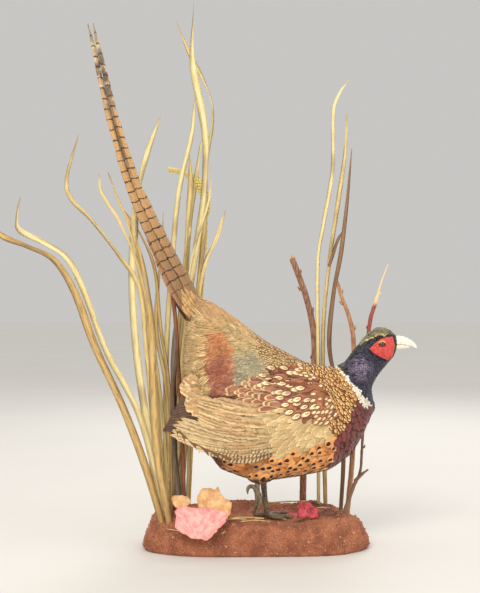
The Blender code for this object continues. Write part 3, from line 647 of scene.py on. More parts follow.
def make_tone():
    """Gives a colour the small differences from one feather to the next, and the shade deep in the coat."""
    sockets = {"Color": (1, 1, 1, 1), "Amount": 0.25}
    group, graph, inputs, outputs = shader_group("own_tone", sockets, "Color")
    own = graph.times(graph.minus(graph.attribute("tone"), 0.5), inputs["Amount"])
    fine = graph.wander(inputs["Amount"], 260.0)
    deep = graph.between(graph.attribute("along"), 0.0, 0.5, 0.7, 1.0)
    bright = graph.times(graph.plus(1.0, graph.plus(own, fine)), deep)
    graph.put(graph.scaled(inputs["Color"], bright), outputs["Color"])
    return group


def make_speckle():
    """A mask of scattered specks and soft blotches, for earth, bark and dry leaf."""
    group, graph, inputs, outputs = shader_group("speckle", {"Scale": 400.0, "Share": 0.4}, "Mask", "Blotch")
    fine = graph.noise(1.0, 4.0, graph.scaled(graph.place(), inputs["Scale"]))
    low, high = (graph.minus(edge, inputs["Share"]) for edge in (0.95, 1.05))
    graph.put(graph.node("ShaderNodeMapRange", fine, low, high).outputs[0], outputs["Mask"])
    coarse = graph.scaled(graph.place(), graph.times(inputs["Scale"], 0.12))
    graph.put(graph.noise(1.0, 2.0, coarse), outputs["Blotch"])
    return group


VANE_LINE = make_rim_lines()
VANE_SPOT = make_spot()
BARBS = make_barbs()
OWN_TONE = make_tone()
SPECKLE = make_speckle()


def finish_vane(graph, join, colour, count, slope, tone, shaft=None, relief=(0.4, 0.3)):
    """Gives a vane its ribs, a shaft of some strength and colour, and a tone of its own."""
    ribbed = graph.group(BARBS, Count=count, Slope=slope)
    if shaft:
        colour = graph.mix(graph.times(ribbed["Shaft"], shaft[0]), colour, shaft[1])
    join(graph.group(OWN_TONE, Color=colour, Amount=tone)["Color"])
    bump(graph, join, ribbed["Height"], *relief)


# ------------------------------------------------------------------ plumage

# For each kind of feather: vane is its cut, size is its length and width in millimetres, apart is the least
# distance between roots, lift is how far the tip stands off the skin, and under is the skin's colour there.
# Then come the two colours of the ground, and marks with the numbers of their shape. A fade is a third ground
# colour with the heights, in millimetres, between which it comes in.
PLUMAGE = {
    "flank": {"vane": "broad", "size": (30, 20), "apart": 11.0, "lift": 2.0, "under": paint(206, 134, 74),
              "ground": (paint(240, 176, 108), paint(226, 150, 84)),
              "spot": (paint(38, 14, 8), 0.85, 0.13, 0.34, -0.2), "slot": "mantle"},
    "olive": {"vane": "loose", "size": (27, 12), "apart": 4.0, "lift": 3.0, "under": paint(196, 156, 100),
              "ground": (paint(244, 206, 142), paint(218, 178, 116)),
              "fade": (paint(226, 180, 124), 330, 372), "slot": "mantle"},
    "shag": {"vane": "loose", "size": (34, 14), "apart": 4.6, "lift": 10.0, "under": paint(196, 156, 100),
             "ground": (paint(248, 214, 154), paint(222, 182, 122)), "slot": "mantle"},
    "back": {"vane": "scale", "size": (10.5, 5.6), "apart": 3.1, "lift": 1.7, "under": paint(150, 112, 66),
             "ground": (paint(204, 158, 100), paint(168, 122, 70)),
             "halo": (paint(118, 78, 44), 0.8, 0.24, 0.62, 0.0),
             "spot": (paint(248, 220, 160), 0.8, 0.18, 0.3, 0.0), "slot": "mantle"},
    "rump": {"vane": "loose", "size": (27, 13), "apart": 4.2, "lift": 2.8, "under": paint(170, 158, 124),
             "ground": (paint(214, 200, 162), paint(190, 180, 144)), "fade": (paint(232, 198, 140), 286, 326),
             "slot": "mantle"},
    "rust": {"vane": "loose", "size": (28, 13), "apart": 4.2, "lift": 3.2, "under": paint(180, 110, 76),
             "ground": (paint(212, 136, 104), paint(188, 108, 80)), "fade": (paint(228, 152, 96), 276, 312),
             "slot": "mantle"},
    "maroon": {"vane": "broad", "size": (34, 11), "apart": 6.6, "lift": 2.8, "under": paint(150, 98, 70),
               "ground": (paint(188, 126, 92), paint(152, 90, 66)),
               "line": (paint(232, 196, 142), 0.06, 0.3, 0.5),
               "edge": (paint(190, 138, 98), 0.0, 0.1, 0.4), "slot": "wing"},
    "covert": {"vane": "broad", "size": (40, 10), "apart": 5.4, "lift": 1.7, "under": paint(206, 172, 118),
               "ground": (paint(232, 202, 146), paint(212, 180, 126)),
               "edge": (paint(244, 220, 168), 0.0, 0.1, 1.0),
               "line": (paint(208, 174, 120), 0.5, 1.3, 0.9), "slot": "wing"},
    "scapular": {"vane": "broad", "size": (33, 14), "apart": 8.8, "lift": 2.6, "under": paint(146, 84, 60),
                 "ground": (paint(184, 116, 82), paint(156, 88, 62)),
                 "edge": (paint(210, 150, 106), 0.0, 0.1, 0.6),
                 "halo": (paint(96, 46, 32), 0.78, 0.28, 0.8, 0.1),
                 "spot": (paint(250, 230, 182), 0.79, 0.23, 0.56, 0.25),
                 "core": (paint(212, 168, 112), 0.7, 0.12, 0.24, 0.2), "slot": "mantle"},
    "shoulder": {"vane": "broad", "size": (20, 11), "apart": 5.6, "lift": 2.6, "under": paint(176, 112, 72),
                 "ground": (paint(196, 128, 84), paint(162, 94, 62)),
                 "edge": (paint(226, 166, 108), 0.0, 0.1, 0.5),
                 "halo": (paint(92, 44, 28), 0.78, 0.26, 0.66, 0.1),
                 "spot": (paint(250, 226, 172), 0.78, 0.2, 0.42, 0.2), "slot": "mantle"},
    "mantle": {"vane": "scale", "size": (12, 7), "apart": 3.7, "lift": 1.8, "under": paint(150, 92, 50),
               "ground": (paint(222, 162, 94), paint(196, 132, 72)),
               "edge": (paint(74, 38, 20), 0.0, 0.3, 0.28),
               "line": (paint(246, 202, 130), 0.4, 0.64, 0.34), "slot": "mantle"},
    "breast": {"vane": "broad", "size": (17, 13), "apart": 5.4, "lift": 1.7, "under": paint(92, 38, 32),
               "ground": (paint(126, 54, 44), paint(100, 38, 38)),
               "edge": (paint(90, 38, 46), 0.0, 0.12, 0.4), "gloss": 0.45, "slot": "mantle"},
    "belly": {"vane": "loose", "size": (24, 14), "apart": 5.6, "lift": 2.8, "under": paint(74, 40, 28),
              "ground": (paint(100, 58, 38), paint(72, 40, 28)), "slot": "thigh"},
    "vent": {"vane": "loose", "size": (26, 14), "apart": 5.0, "lift": 3.0, "under": paint(110, 64, 40),
             "ground": (paint(150, 92, 56), paint(110, 62, 40)), "slot": "mantle"},
    "ring": {"vane": "scale", "size": (6.2, 4.8), "apart": 1.5, "lift": 1.8, "under": paint(232, 226, 206),
             "ground": (paint(252, 247, 230), paint(240, 232, 210)), "slot": "neck"},
    "neck": {"vane": "scale", "size": (8, 4.6), "apart": 2.5, "lift": 1.5, "under": paint(26, 24, 40),
             "ground": (paint(36, 32, 58), paint(24, 26, 40)), "edge": (paint(64, 56, 92), 0.0, 0.2, 0.4),
             "gloss": 0.34, "painted_sheen": True, "slot": "neck"},
    "nape": {"vane": "scale", "size": (7, 4.2), "apart": 2.4, "lift": 1.3, "under": paint(24, 28, 24),
             "ground": (paint(38, 48, 40), paint(24, 28, 30)), "edge": (paint(56, 66, 56), 0.0, 0.18, 0.4),
             "gloss": 0.36, "slot": "neck"},
    "face": {"vane": "scale", "size": (3.6, 2.8), "apart": 1.5, "lift": 0.8, "under": paint(26, 30, 28),
             "ground": (paint(40, 48, 42), paint(26, 30, 32)), "edge": (paint(58, 66, 60), 0.0, 0.18, 0.4),
             "gloss": 0.36, "slot": "head"},
    "crown": {"vane": "scale", "size": (7, 4.2), "apart": 2.1, "lift": 1.3, "under": paint(104, 98, 70),
              "ground": (paint(142, 134, 98), paint(108, 102, 72)),
              "edge": (paint(166, 158, 118), 0.0, 0.16, 0.5), "gloss": 0.45, "slot": "head"},
    # The pale golden line along the crown's lower edge is partly a real brow stripe and partly a painted
    # highlight on the crown's edge.
    "brow": {"vane": "scale", "size": (5.5, 1.8), "apart": 0.8, "lift": 1.9, "under": paint(180, 160, 110),
             "ground": (paint(232, 214, 154), paint(196, 178, 122)), "gloss": 0.45, "slot": "head"},
    # Under the wing's long feathers the skin is dark brown as painted shade for the gaps between them.
    "flight": {"under": paint(132, 98, 68)},
}
# The lilac gloss on each side of the neck, a painted highlight: its middle in the side view and its reach, in
# millimetres.
PAINTED_GLOSS_PATCH, PAINTED_GLOSS_REACH = (162, 279), 25
# What of a kind's look its finish needs.
MARKS = ("ground", "edge", "line", "halo", "spot", "core", "fade", "gloss", "painted_sheen")


def marked_vane(name, ground, edge=None, line=None, halo=None, spot=None, core=None, fade=None, gloss=0.62,
                painted_sheen=False):
    """The finish of a kind of feather: ground, marks, ribs and the tone of each one."""
    stuff, graph, join = material(f"{name}_feather", gloss, Sheen_Weight=0.25, Sheen_Roughness=0.4)
    colour = graph.mottled(60.0, 0.35, 0.65, *ground)
    if fade:
        height = graph.plus(graph.axis(2), graph.wander(0.03, 45.0))
        colour = graph.mix(graph.between(height, fade[1] * MM, fade[2] * MM), colour, fade[0])
    if painted_sheen:
        # Painted highlight: a lilac gloss painted into the neck's colour at a fixed patch on each side.
        away = graph.from_side_place(*PAINTED_GLOSS_PATCH)
        lit = graph.between(away, 0.4 * PAINTED_GLOSS_REACH * MM, PAINTED_GLOSS_REACH * MM, 1.0, 0.0)
        lit = graph.times(lit, graph.between(graph.noise(140.0, 3.0), 0.36, 0.62))
        colour = graph.mix(lit, colour, paint(140, 122, 146))
    for mark in (halo, spot, core):
        if mark:
            made = graph.group(VANE_SPOT, At=mark[1], Reach_along=mark[2], Reach_across=mark[3],
                               Point=mark[4])
            colour = graph.mix(made["Mask"], colour, mark[0])
    for mark in (line, edge):
        if mark:
            made = graph.group(VANE_LINE, Outer=mark[1], Inner=mark[2], From_tip=mark[3])
            colour = graph.mix(made["Mask"], colour, mark[0])
    finish_vane(graph, join, colour, 34.0, 0.3, 0.34, (0.3, graph.scaled(colour, 0.55)), (0.35, 0.25))
    return stuff


def underlay_finish():
    stuff, graph, join = material("underlay_feather", 0.8)
    colour = graph.scaled(graph.attribute("tip_down", "Color"), 0.8)
    finish_vane(graph, join, colour, 26.0, 0.3, 0.4, relief=(0.4, 0.25))
    return stuff


VANE_DOME = 0.26
VANE_BELOW = 0.14


def vane_template(name, rows, columns, swell, blunt, ragged, seed):
    """A flat feather one long and one wide, root at the origin and tip along +Y, closed underneath."""
    draw = np.random.default_rng(seed)
    share = 1 - (1 - np.linspace(0, 1, rows + 1)) ** 1.5
    share[-1] = 0.996
    half = 0.5 * np.sin(np.pi * np.maximum(share, 0.03) ** swell) ** blunt
    aside = np.linspace(-1, 1, columns + 1)
    points, across, along, rise = [], [], [], []
    for t, wide in zip(share, half):
        cut = 1 - ragged * draw.random(2) * smoothstep(0.25, 0.9, t)
        for a in aside:
            reach = a * wide * (cut[int(a > 0)] if abs(a) > 0.6 else 1)
            points.append((reach, t, 0))
            across.append(a)
            along.append(t)
            rise.append(VANE_DOME * (1 - a * a))
    for t in share:
        points.append((0, t, 0))
        across.append(0)
        along.append(t)
        rise.append(-VANE_BELOW)
    wide_row = columns + 1
    under = (rows + 1) * wide_row
    faces = []
    for r in range(rows):
        low, high = r * wide_row, (r + 1) * wide_row
        faces += [(low + c, low + c + 1, high + c + 1, high + c) for c in range(columns)]
        faces.append((under + r, low, high, under + r + 1))
        faces.append((low + columns, under + r, under + r + 1, high + columns))
    for row, turned in ((0, True), (rows, False)):
        ring = [row * wide_row + c for c in range(wide_row)] + [under + row]
        faces.append(ring[::-1] if turned else ring)
    return template_object(name, points, faces, across, along, rise)


def loose_template(name, strands, rows, seed):
    """A tuft of fine separate barbs that spread from one root."""
    draw = np.random.default_rng(seed)
    points, faces, across, along, rise = [], [], [], [], []
    for k in range(strands):
        lean = (k / (strands - 1) - 0.5) * 2
        reach = (1 - 0.3 * lean * lean) * draw.uniform(0.85, 1)
        sway = draw.uniform(-0.12, 0.12)
        first = len(points)
        for r in range(rows):
            t = r / rows
            middle = 0.42 * lean * t**0.8 + sway * t * t
            wide = 0.1 * (1 - t) ** 0.6
            for side, up in ((-1, 0), (1, 0), (0, 0.5)):
                points.append((middle + side * wide, t * reach, 0))
                across.append(lean)
                along.append(t)
                rise.append(up * (1 - t) + 0.25 * (k % 2))
        points.append((0.42 * lean + sway, reach, 0))
        across.append(lean)
        along.append(1)
        rise.append(0.1)
        for r in range(rows - 1):
            low, high = first + 3 * r, first + 3 * r + 3
            faces += [(low + a, low + b, high + b, high + a) for a, b in ((0, 1), (1, 2), (2, 0))]
        low, tip = first + 3 * (rows - 1), first + 3 * rows
        faces += [(low + a, low + b, tip) for a, b in ((0, 1), (1, 2), (2, 0))]
        faces.append((first + 2, first + 1, first))
    return template_object(name, points, faces, across, along, rise)


def template_object(name, points, faces, across, along, rise):
    mesh = mesh_from(name, points, faces)
    for label, values in (("across", across), ("along", along), ("rise", rise)):
        store(mesh, label, values)
    return bpy.data.objects.new(name, mesh)


def make_templates():
    """The cuts of vane, each a collection of a few unlike feathers."""
    cuts = {
        "broad": [vane_template(f"broad_{k}", 9, 6, 1.55, 0.5, 0.16, k) for k in range(4)],
        "scale": [vane_template(f"scale_{k}", 5, 4, 1.5, 0.5, 0.12, k) for k in range(3)],
        "loose": [loose_template(f"loose_{k}", 6, 4, k) for k in range(4)],
    }
    made = {}
    for name, objects in cuts.items():
        made[name] = bpy.data.collections.new(name)
        bpy.context.scene.collection.children.link(made[name])
        for obj in objects:
            made[name].objects.link(obj)
    return made


class Fields(Graph):
    """A geometry graph, with short ways to the fields and steps that the trees share."""

    def open_output(self, node):
        return next(socket for socket in node.outputs if socket.enabled)

    def put_value(self, value, node):
        self.put(value, next(socket for socket in node.inputs if socket.enabled and socket.name == "Value"))

    def named(self, name, kind="FLOAT"):
        return self.open_output(self.node("GeometryNodeInputNamedAttribute", name, data_type=kind))

    def random(self, low, high, seed=None, kind="FLOAT"):
        made = self.node("FunctionNodeRandomValue", data_type=kind)
        sockets = [socket for socket in made.inputs if socket.enabled]
        for socket, value in zip(sockets, (low, high)):
            self.put(value, socket)
        self.put(seed, made.inputs["Seed"])
        return self.open_output(made)

    def store(self, geometry, name, value, kind):
        made = self.node("GeometryNodeStoreNamedAttribute", data_type=kind, domain="POINT")
        self.put(geometry, made.inputs["Geometry"])
        self.put(name, made.inputs["Name"])
        self.put_value(value, made)
        return made.outputs[0]

    def on_surface(self, surface, value):
        """A vector that a surface holds, read at its place nearest to each point."""
        made = self.node("GeometryNodeSampleNearestSurface", data_type="FLOAT_VECTOR",
                         named={"Mesh": surface})
        self.put_value(value, made)
        return self.open_output(made)

    def roots(self, inputs, crowd, more=None):
        """Points strewn over the source's faces, none nearer to another than the tree's Apart."""
        crowd = self.math("DIVIDE", crowd, self.times(inputs["Apart"], inputs["Apart"]))
        named = {"Mesh": inputs["Geometry"], "Distance Min": inputs["Apart"], "Density Max": crowd,
                 "Seed": inputs["Seed"], **(more or {})}
        return self.node("GeometryNodeDistributePointsOnFaces", distribute_method="POISSON",
                         named=named).outputs

    def balls(self, points, ball, rotation, smallest, largest, inputs):
        """A ball on each point, of the tree's Reach times a share from the smallest to the largest."""
        grown = self.times(inputs["Reach"], self.random(smallest, largest, inputs["Seed"]))
        scale = self.node("ShaderNodeCombineXYZ", grown, grown, grown).outputs[0]
        named = {"Points": points, "Instance": ball, "Rotation": rotation, "Scale": scale}
        return self.node("GeometryNodeInstanceOnPoints", named=named).outputs[0]

    def hand_over(self, geometry, inputs, output):
        """The last steps of every tree: instances made real, and the finish."""
        real = self.node("GeometryNodeRealizeInstances", geometry).outputs[0]
        done = self.node("GeometryNodeSetMaterial", real, named={"Material": inputs["Finish"]})
        self.put(done.outputs[0], output[0])


def geometry_tree(name, sockets):
    """A geometry tree with its named inputs: the tree, its graph, the inputs and the output node."""
    tree = bpy.data.node_groups.new(name, "GeometryNodeTree")
    tree.interface.new_socket("Geometry", in_out="INPUT", socket_type="NodeSocketGeometry")
    for label, kind, value in sockets:
        socket = tree.interface.new_socket(label, in_out="INPUT", socket_type=f"NodeSocket{kind}")
        if value is not None:
            socket.default_value = value
    tree.interface.new_socket("Geometry", in_out="OUTPUT", socket_type="NodeSocketGeometry")
    graph = Fields(tree)
    return tree, graph, graph.node("NodeGroupInput").outputs, graph.node("NodeGroupOutput").inputs


def run_tree(name, source, tree, values):
    """The plain mesh that a tree makes from a source object, as a new object."""
    change = source.modifiers.new("growth", "NODES")
    change.node_group = tree
    for item in tree.interface.items_tree:
        if item.in_out == "INPUT" and item.name in values:
            change[item.identifier] = values[item.name]
    source.update_tag()
    mesh = evaluated_mesh(source)
    source.modifiers.clear()
    mesh.name = name
    return add_object(name, mesh)


def make_tract_tree():
    """Grows feathers on a skin: spaced roots, each with a vane that lies along the coat and hugs the skin."""
    tree, graph, inputs, output = geometry_tree("feather_tract", [
        ("Vanes", "Collection", None), ("Patch", "String", "flank"), ("Apart", "Float", 0.01),
        ("Length", "Float", 0.02), ("Width", "Float", 0.01), ("Cover", "Float", 0.0),
        ("Lift", "Float", 0.003), ("Turn", "Float", 0.15), ("Seed", "Int", 1), ("Finish", "Material", None)])
    share = graph.named(inputs["Patch"])
    grows = graph.node("FunctionNodeCompare", share, 0.02, data_type="FLOAT", operation="GREATER_THAN")
    roots = graph.roots(inputs, 3.5, {"Selection": grows.outputs[0], "Density Factor": share})
    here = graph.node("GeometryNodeInputPosition").outputs[0]
    points = graph.store(roots["Points"], "root", here, "FLOAT_VECTOR")
    points = graph.store(points, "tone", graph.random(0.0, 1.0, graph.plus(inputs["Seed"], 3.0)), "FLOAT")
    outward, flow = (graph.named(name, "FLOAT_VECTOR") for name in ("outward", "flow"))
    facing = graph.node("FunctionNodeAxesToRotation", outward, flow, primary_axis="Z", secondary_axis="Y")
    turn = graph.times(graph.random(-1.0, 1.0, graph.plus(inputs["Seed"], 5.0)), inputs["Turn"])
    swing = graph.node("FunctionNodeAxisAngleToRotation", (0, 0, 1), turn)
    facing = graph.node("FunctionNodeRotateRotation", facing.outputs[0], swing.outputs[0],
                        rotation_space="LOCAL")
    grown = graph.random(0.86, 1.14, graph.plus(inputs["Seed"], 7.0))
    size = graph.node("ShaderNodeCombineXYZ", graph.times(inputs["Width"], grown),
                      graph.times(inputs["Length"], grown), 1.0)
    vanes = graph.node("GeometryNodeCollectionInfo", inputs["Vanes"], True, True)
    placed = graph.node("GeometryNodeInstanceOnPoints", named={
        "Points": points, "Instance": vanes.outputs[0], "Pick Instance": True,
        "Instance Index": graph.random(0, 11, inputs["Seed"], "INT"), "Rotation": facing.outputs[0],
        "Scale": size.outputs[0]})
    real = graph.node("GeometryNodeRealizeInstances", placed.outputs[0]).outputs[0]
    near, away = (graph.on_surface(inputs["Geometry"], value) for value in (here, outward))
    tip = graph.math("POWER", graph.named("along"), 1.3)
    height = graph.plus(inputs["Cover"], graph.times(tip, inputs["Lift"]))
    own = graph.times(graph.minus(graph.named("tone"), 0.5), 0.3)
    height = graph.times(height, graph.plus(1.0, own))
    height = graph.plus(height, graph.times(graph.named("rise"), MM))
    raised = graph.scaled(graph.vector("NORMALIZE", away), height)
    laid = graph.node("GeometryNodeSetPosition", real, named={"Position": graph.vector("ADD", near, raised)})
    graph.hand_over(laid.outputs[0], inputs, output)
    return tree


# The line through the middle of the bird from tail to bill, round which the bake's map is unrolled.
CORE_LINE = np.array(((-100, 380), (-60, 330), (0, 240), (80, 195), (130, 205), (160, 250), (186, 305),
                      (222, 322)), float)
MAP_TUFT = 0.003
SHAGGY_LIFT = 8
HEAD_KINDS = ("ring", "neck", "nape", "face", "crown", "brow", "flight")


def unrolled(points):
    """Where places on the skin, in millimetres, fall on its unrolled map."""
    best = np.full(len(points), np.inf)
    found = np.zeros((len(points), 2))
    lengths = np.linalg.norm(np.diff(CORE_LINE, axis=0), axis=1)
    before = 0.0
    for start, end, long in zip(CORE_LINE, CORE_LINE[1:], lengths):
        ahead = (end - start) / long
        away = points[:, ::2] - start
        run = np.clip(away @ ahead, 0, long)
        off = away - run[:, None] * ahead
        far = np.hypot(off[:, 0], off[:, 1])
        near = far < best
        up = off @ np.array((-ahead[1], ahead[0]))
        angle = np.arctan2(points[:, 1], up) / (2 * math.pi) + 0.5
        found[near] = np.stack([(before + run) / lengths.sum(), angle], -1)[near]
        best = np.minimum(best, far)
        before += long
    return 0.02 + 0.96 * found


def map_tufts(mesh):
    """Gives each feather its own small patch of the bake's map, at its root's place."""
    corner = corner_vertices(mesh)
    root = unrolled(read_points(mesh, "root") / MM)
    own = np.stack([read_points(mesh, "across", 1) / 2, read_points(mesh, "along", 1) - 0.5], -1)
    store_map(mesh, (root + own * MAP_TUFT)[corner])
    forget(mesh, "root", "rise", "outward", "flow", "body", *KINDS)


def forget(mesh, *names):
    """Takes away stored values that no finish reads."""
    for name in names:
        if name in mesh.attributes:
            mesh.attributes.remove(mesh.attributes[name])


def swing_of(look):
    """How far feathers of a kind turn to either side, in radians."""
    if look["lift"] > SHAGGY_LIFT:
        return 0.05 * look["lift"]
    return 0.3 if look["vane"] == "loose" else 0.12


def grow_coat(skin):
    """The feathers of head, neck and body, one piece for each kind."""
    templates = make_templates()
    tree = make_tract_tree()
    store(skin.data, "body", 1 - sum(read_points(skin.data, name, 1) for name in HEAD_KINDS))
    coats = {"underlay": ("body", {"vane": "scale", "size": (22, 15), "apart": 6.5, "lift": 1.1},
                          underlay_finish())}
    for kind, look in PLUMAGE.items():
        if "vane" in look:
            coats[kind] = (kind, look, marked_vane(kind, **{key: look[key] for key in MARKS if key in look}))
    for seed, (name, (patch, look, finish)) in enumerate(coats.items()):
        length, width = look["size"]
        coat = run_tree(f"coat_{name}", skin, tree, {
            "Vanes": templates[look["vane"]], "Patch": patch, "Apart": look["apart"] * MM,
            "Length": length * MM, "Width": width * MM, "Cover": 0.2 * MM, "Lift": look["lift"] * MM,
            "Turn": swing_of(look), "Seed": 20 + seed, "Finish": finish})
        map_tufts(coat.data)
        wear(coat, look.get("slot", "mantle"))
    forget(skin.data, "outward", "flow", "body", "tip_down", *KINDS)
    for held in templates.values():
        for obj in list(held.objects):
            bpy.data.objects.remove(obj)
        bpy.data.collections.remove(held)


# ------------------------------------------------------------------ long vanes: tail, flight feathers, blades

STRIP_COLUMNS = (-1, -0.78, -0.5, -0.22, -0.07, 0, 0.07, 0.22, 0.5, 0.78, 1)
# Cuts in a long vane's edge reach inward to this share of its half width.
CUT_FROM = 0.7
# Where a long vane's upper and under face lie across its share of the bake's map: middle and half width.
UPPER_BAND, UNDER_BAND = (0.37, 0.33), (0.82, 0.06)


def strip(path, aside, above, low_half, high_half, thick=0.35, ridge=0.4, camber=0.1, slant=0.0, tone=0.5,
          cuts=0.0, seed=0):
    """Points, faces and vane numbers of one long closed vane, in millimetres.

    path is its middle line, aside and above the ways its + edge and upper face look, the halves its width.
    """
    draw = np.random.default_rng(seed)
    rows = len(path)
    t = np.linspace(0, 1, rows)
    ahead = unit(np.gradient(path, axis=0))
    run = np.concatenate([[0], np.cumsum(np.linalg.norm(np.diff(path, axis=0), axis=1))])
    columns = np.array(STRIP_COLUMNS, float)
    cut = 1 - cuts * (draw.random((rows, 2)) ** 6) * smoothstep(0.04, 0.2, t)[:, None]
    points, across, along, runs = [], [], [], []
    for a in columns:
        half = low_half if a < 0 else high_half
        if abs(a) > CUT_FROM:
            half = half * cut[:, int(a > 0)]
        crest = ridge * (1 - t) ** 0.7 if a == 0 else 0.0
        rise = (1 - a * a) * camber * (low_half + high_half) / 2 + crest + thick * (1 - a * a)
        points.append(path + aside * (a * half)[:, None]
                      + ahead * (abs(a) * half * slant * (1 - t**6))[:, None] + above * rise[:, None])
        across.append(np.full(rows, a))
        along.append(t)
        runs.append(run)
    points.append(path + above * ((camber * (low_half + high_half) / 2) - ridge * 0.5 * (1 - t))[:, None])
    across.append(np.zeros(rows))
    along.append(t)
    runs.append(run)
    points = np.concatenate(points)
    under, last = len(columns) * rows, (len(columns) - 1) * rows
    r = np.arange(rows - 1)
    faces = []
    for c in range(len(columns) - 1):
        low, high = c * rows + r, (c + 1) * rows + r
        faces += np.stack([low, high, high + 1, low + 1], -1).tolist()
    faces += np.stack([under + r, r, r + 1, under + r + 1], -1).tolist()
    faces += np.stack([last + r, under + r, under + r + 1, last + r + 1], -1).tolist()
    for end, turned in ((0, True), (rows - 1, False)):
        ring = [c * rows + end for c in range(len(columns))] + [under + end]
        faces.append(ring[::-1] if turned else ring)
    return points, faces, {"across": np.concatenate(across), "along": np.concatenate(along),
                           "run": np.concatenate(runs), "tone": np.full(len(points), tone)}, under


def strips_object(name, made, finish):
    """Long vanes joined into one piece, each with its own bands of the bake's map."""
    points, faces, values, maps = [], [], {}, []
    first = 0
    for k, (own_points, own_faces, own_values, under) in enumerate(made):
        points.append(own_points)
        for face in own_faces:
            faces.append([first + v for v in face])
            middle, half = UNDER_BAND if any(v >= under for v in face) else UPPER_BAND
            for v in face:
                band = middle + half * own_values["across"][v]
                maps.append((0.01 + 0.98 * own_values["along"][v], (k + band) / len(made)))
        for key, value in own_values.items():
            values.setdefault(key, []).append(value)
        first += len(own_points)
    mesh = mesh_from(name, np.concatenate(points) * MM, faces)
    for key, value in values.items():
        store(mesh, key, np.concatenate(value))
    store_map(mesh, maps)
    with opened(mesh) as bm:
        bmesh.ops.recalc_face_normals(bm, faces=bm.faces)
    mesh.materials.append(finish)
    return add_object(name, mesh)


# ------------------------------------------------------------------ tail

TAIL_AXIS = ((-80, 352), (-112, 408), (-141, 462), (-170, 521), (-193, 577), (-220, 667), (-240, 752),
             (-254, 812))
TAIL_ROLL = math.radians(-50)
TAIL_CENTRE = ((0, 8, 8), (0.12, 8.5, 9.5), (0.35, 8, 9.8), (0.55, 6.6, 8), (0.7, 5.3, 6.4), (0.85, 4.1, 5),
               (0.94, 3.8, 3.6), (1, 4.4, 0.9))
TAIL_SIDE = ((0, 17), (0.08, 22), (0.16, 25), (0.24, 23), (0.33, 18), (0.45, 14), (0.58, 9))
TAIL_SIDE_ENDS = (0.585, 0.5, 0.42, 0.34, 0.265, 0.2, 0.145)
TAIL_COVERTS, UNDER_TAIL = 44, 9


def tail_frames(shares):
    """Points on the tail's line, the way to its left edge and the way its upper face looks."""
    place = along_rows(TAIL_AXIS, shares)
    ahead, behind = np.minimum(shares + 0.01, 1), np.maximum(shares - 0.01, 0)
    slope = unit(along_rows(TAIL_AXIS, ahead) - along_rows(TAIL_AXIS, behind))
    sides, uppers = [], []
    for dx, dz in slope:
        roll = Matrix.Rotation(TAIL_ROLL, 3, Vector((dx, 0, dz)))
        sides.append(roll @ Vector((0, 1, 0)))
        uppers.append(roll @ Vector((dz, 0, -dx)))
    middle = np.stack([place[:, 0], np.zeros(len(shares)), place[:, 1]], -1)
    return middle, np.array(sides), np.array(uppers)


def tail_finish():
    """Golden brown, darker towards the root partly as painted shade, with thin dark bars that sag at the
    shaft, and darker, blotched ends.
    """
    stuff, graph, join = material("tail_feather", 0.5, Sheen_Weight=0.2)
    run, across = graph.attribute("run"), graph.attribute("across")
    aside = graph.math("ABSOLUTE", across)
    waver = graph.wander(5.0, 120.0)
    place = graph.plus(graph.plus(run, waver), graph.times(aside, 2.8))
    beat = graph.math("ABSOLUTE", graph.minus(graph.math("FRACT", graph.math("DIVIDE", place, 16.8)), 0.5))
    bar = graph.times(graph.between(beat, 0.05, 0.095, 1.0, 0.0), graph.between(run, 30.0, 80.0))
    bar = graph.times(bar, graph.between(graph.noise(420.0), 0.32, 0.46))
    lane = graph.times(graph.between(across, -0.5, -0.1, 1.0, 0.0), graph.between(run, 200.0, 290.0))
    blotch = graph.times(graph.between(graph.noise(70.0), 0.42, 0.56), graph.between(run, 330.0, 400.0))
    # Darker towards the root: partly the feathers' own browner colour and partly painted shade.
    ground = graph.mix(graph.between(run, 60.0, 330.0), paint(176, 132, 84), paint(218, 170, 106))
    ground = graph.mottled(420.0, 0.45, 0.8, ground, paint(150, 106, 68))
    ground = graph.mix(graph.between(aside, 0.6, 1.0, 0.0, 0.5), ground, paint(196, 144, 118))
    ground = graph.mix(graph.times(lane, 0.7), ground, paint(70, 44, 30))
    ground = graph.mix(graph.between(run, 320.0, 400.0, 0.0, 0.75), ground, paint(188, 158, 122))
    pale = graph.times(graph.between(graph.noise(110.0), 0.54, 0.64), graph.between(run, 330.0, 390.0))
    ground = graph.mix(graph.times(pale, 0.7), ground, paint(228, 212, 172))
    ground = graph.mix(graph.times(blotch, 0.8), ground, paint(64, 46, 38))
    ground = graph.mix(graph.between(run, 425.0, 465.0, 0.0, 0.4), ground, paint(204, 194, 152))
    colour = graph.mix(graph.times(bar, 0.92), ground, paint(44, 24, 18))
    finish_vane(graph, join, colour, 220.0, 0.012, 0.2, (0.22, paint(84, 54, 36)), (0.35, 0.3))
    return stuff


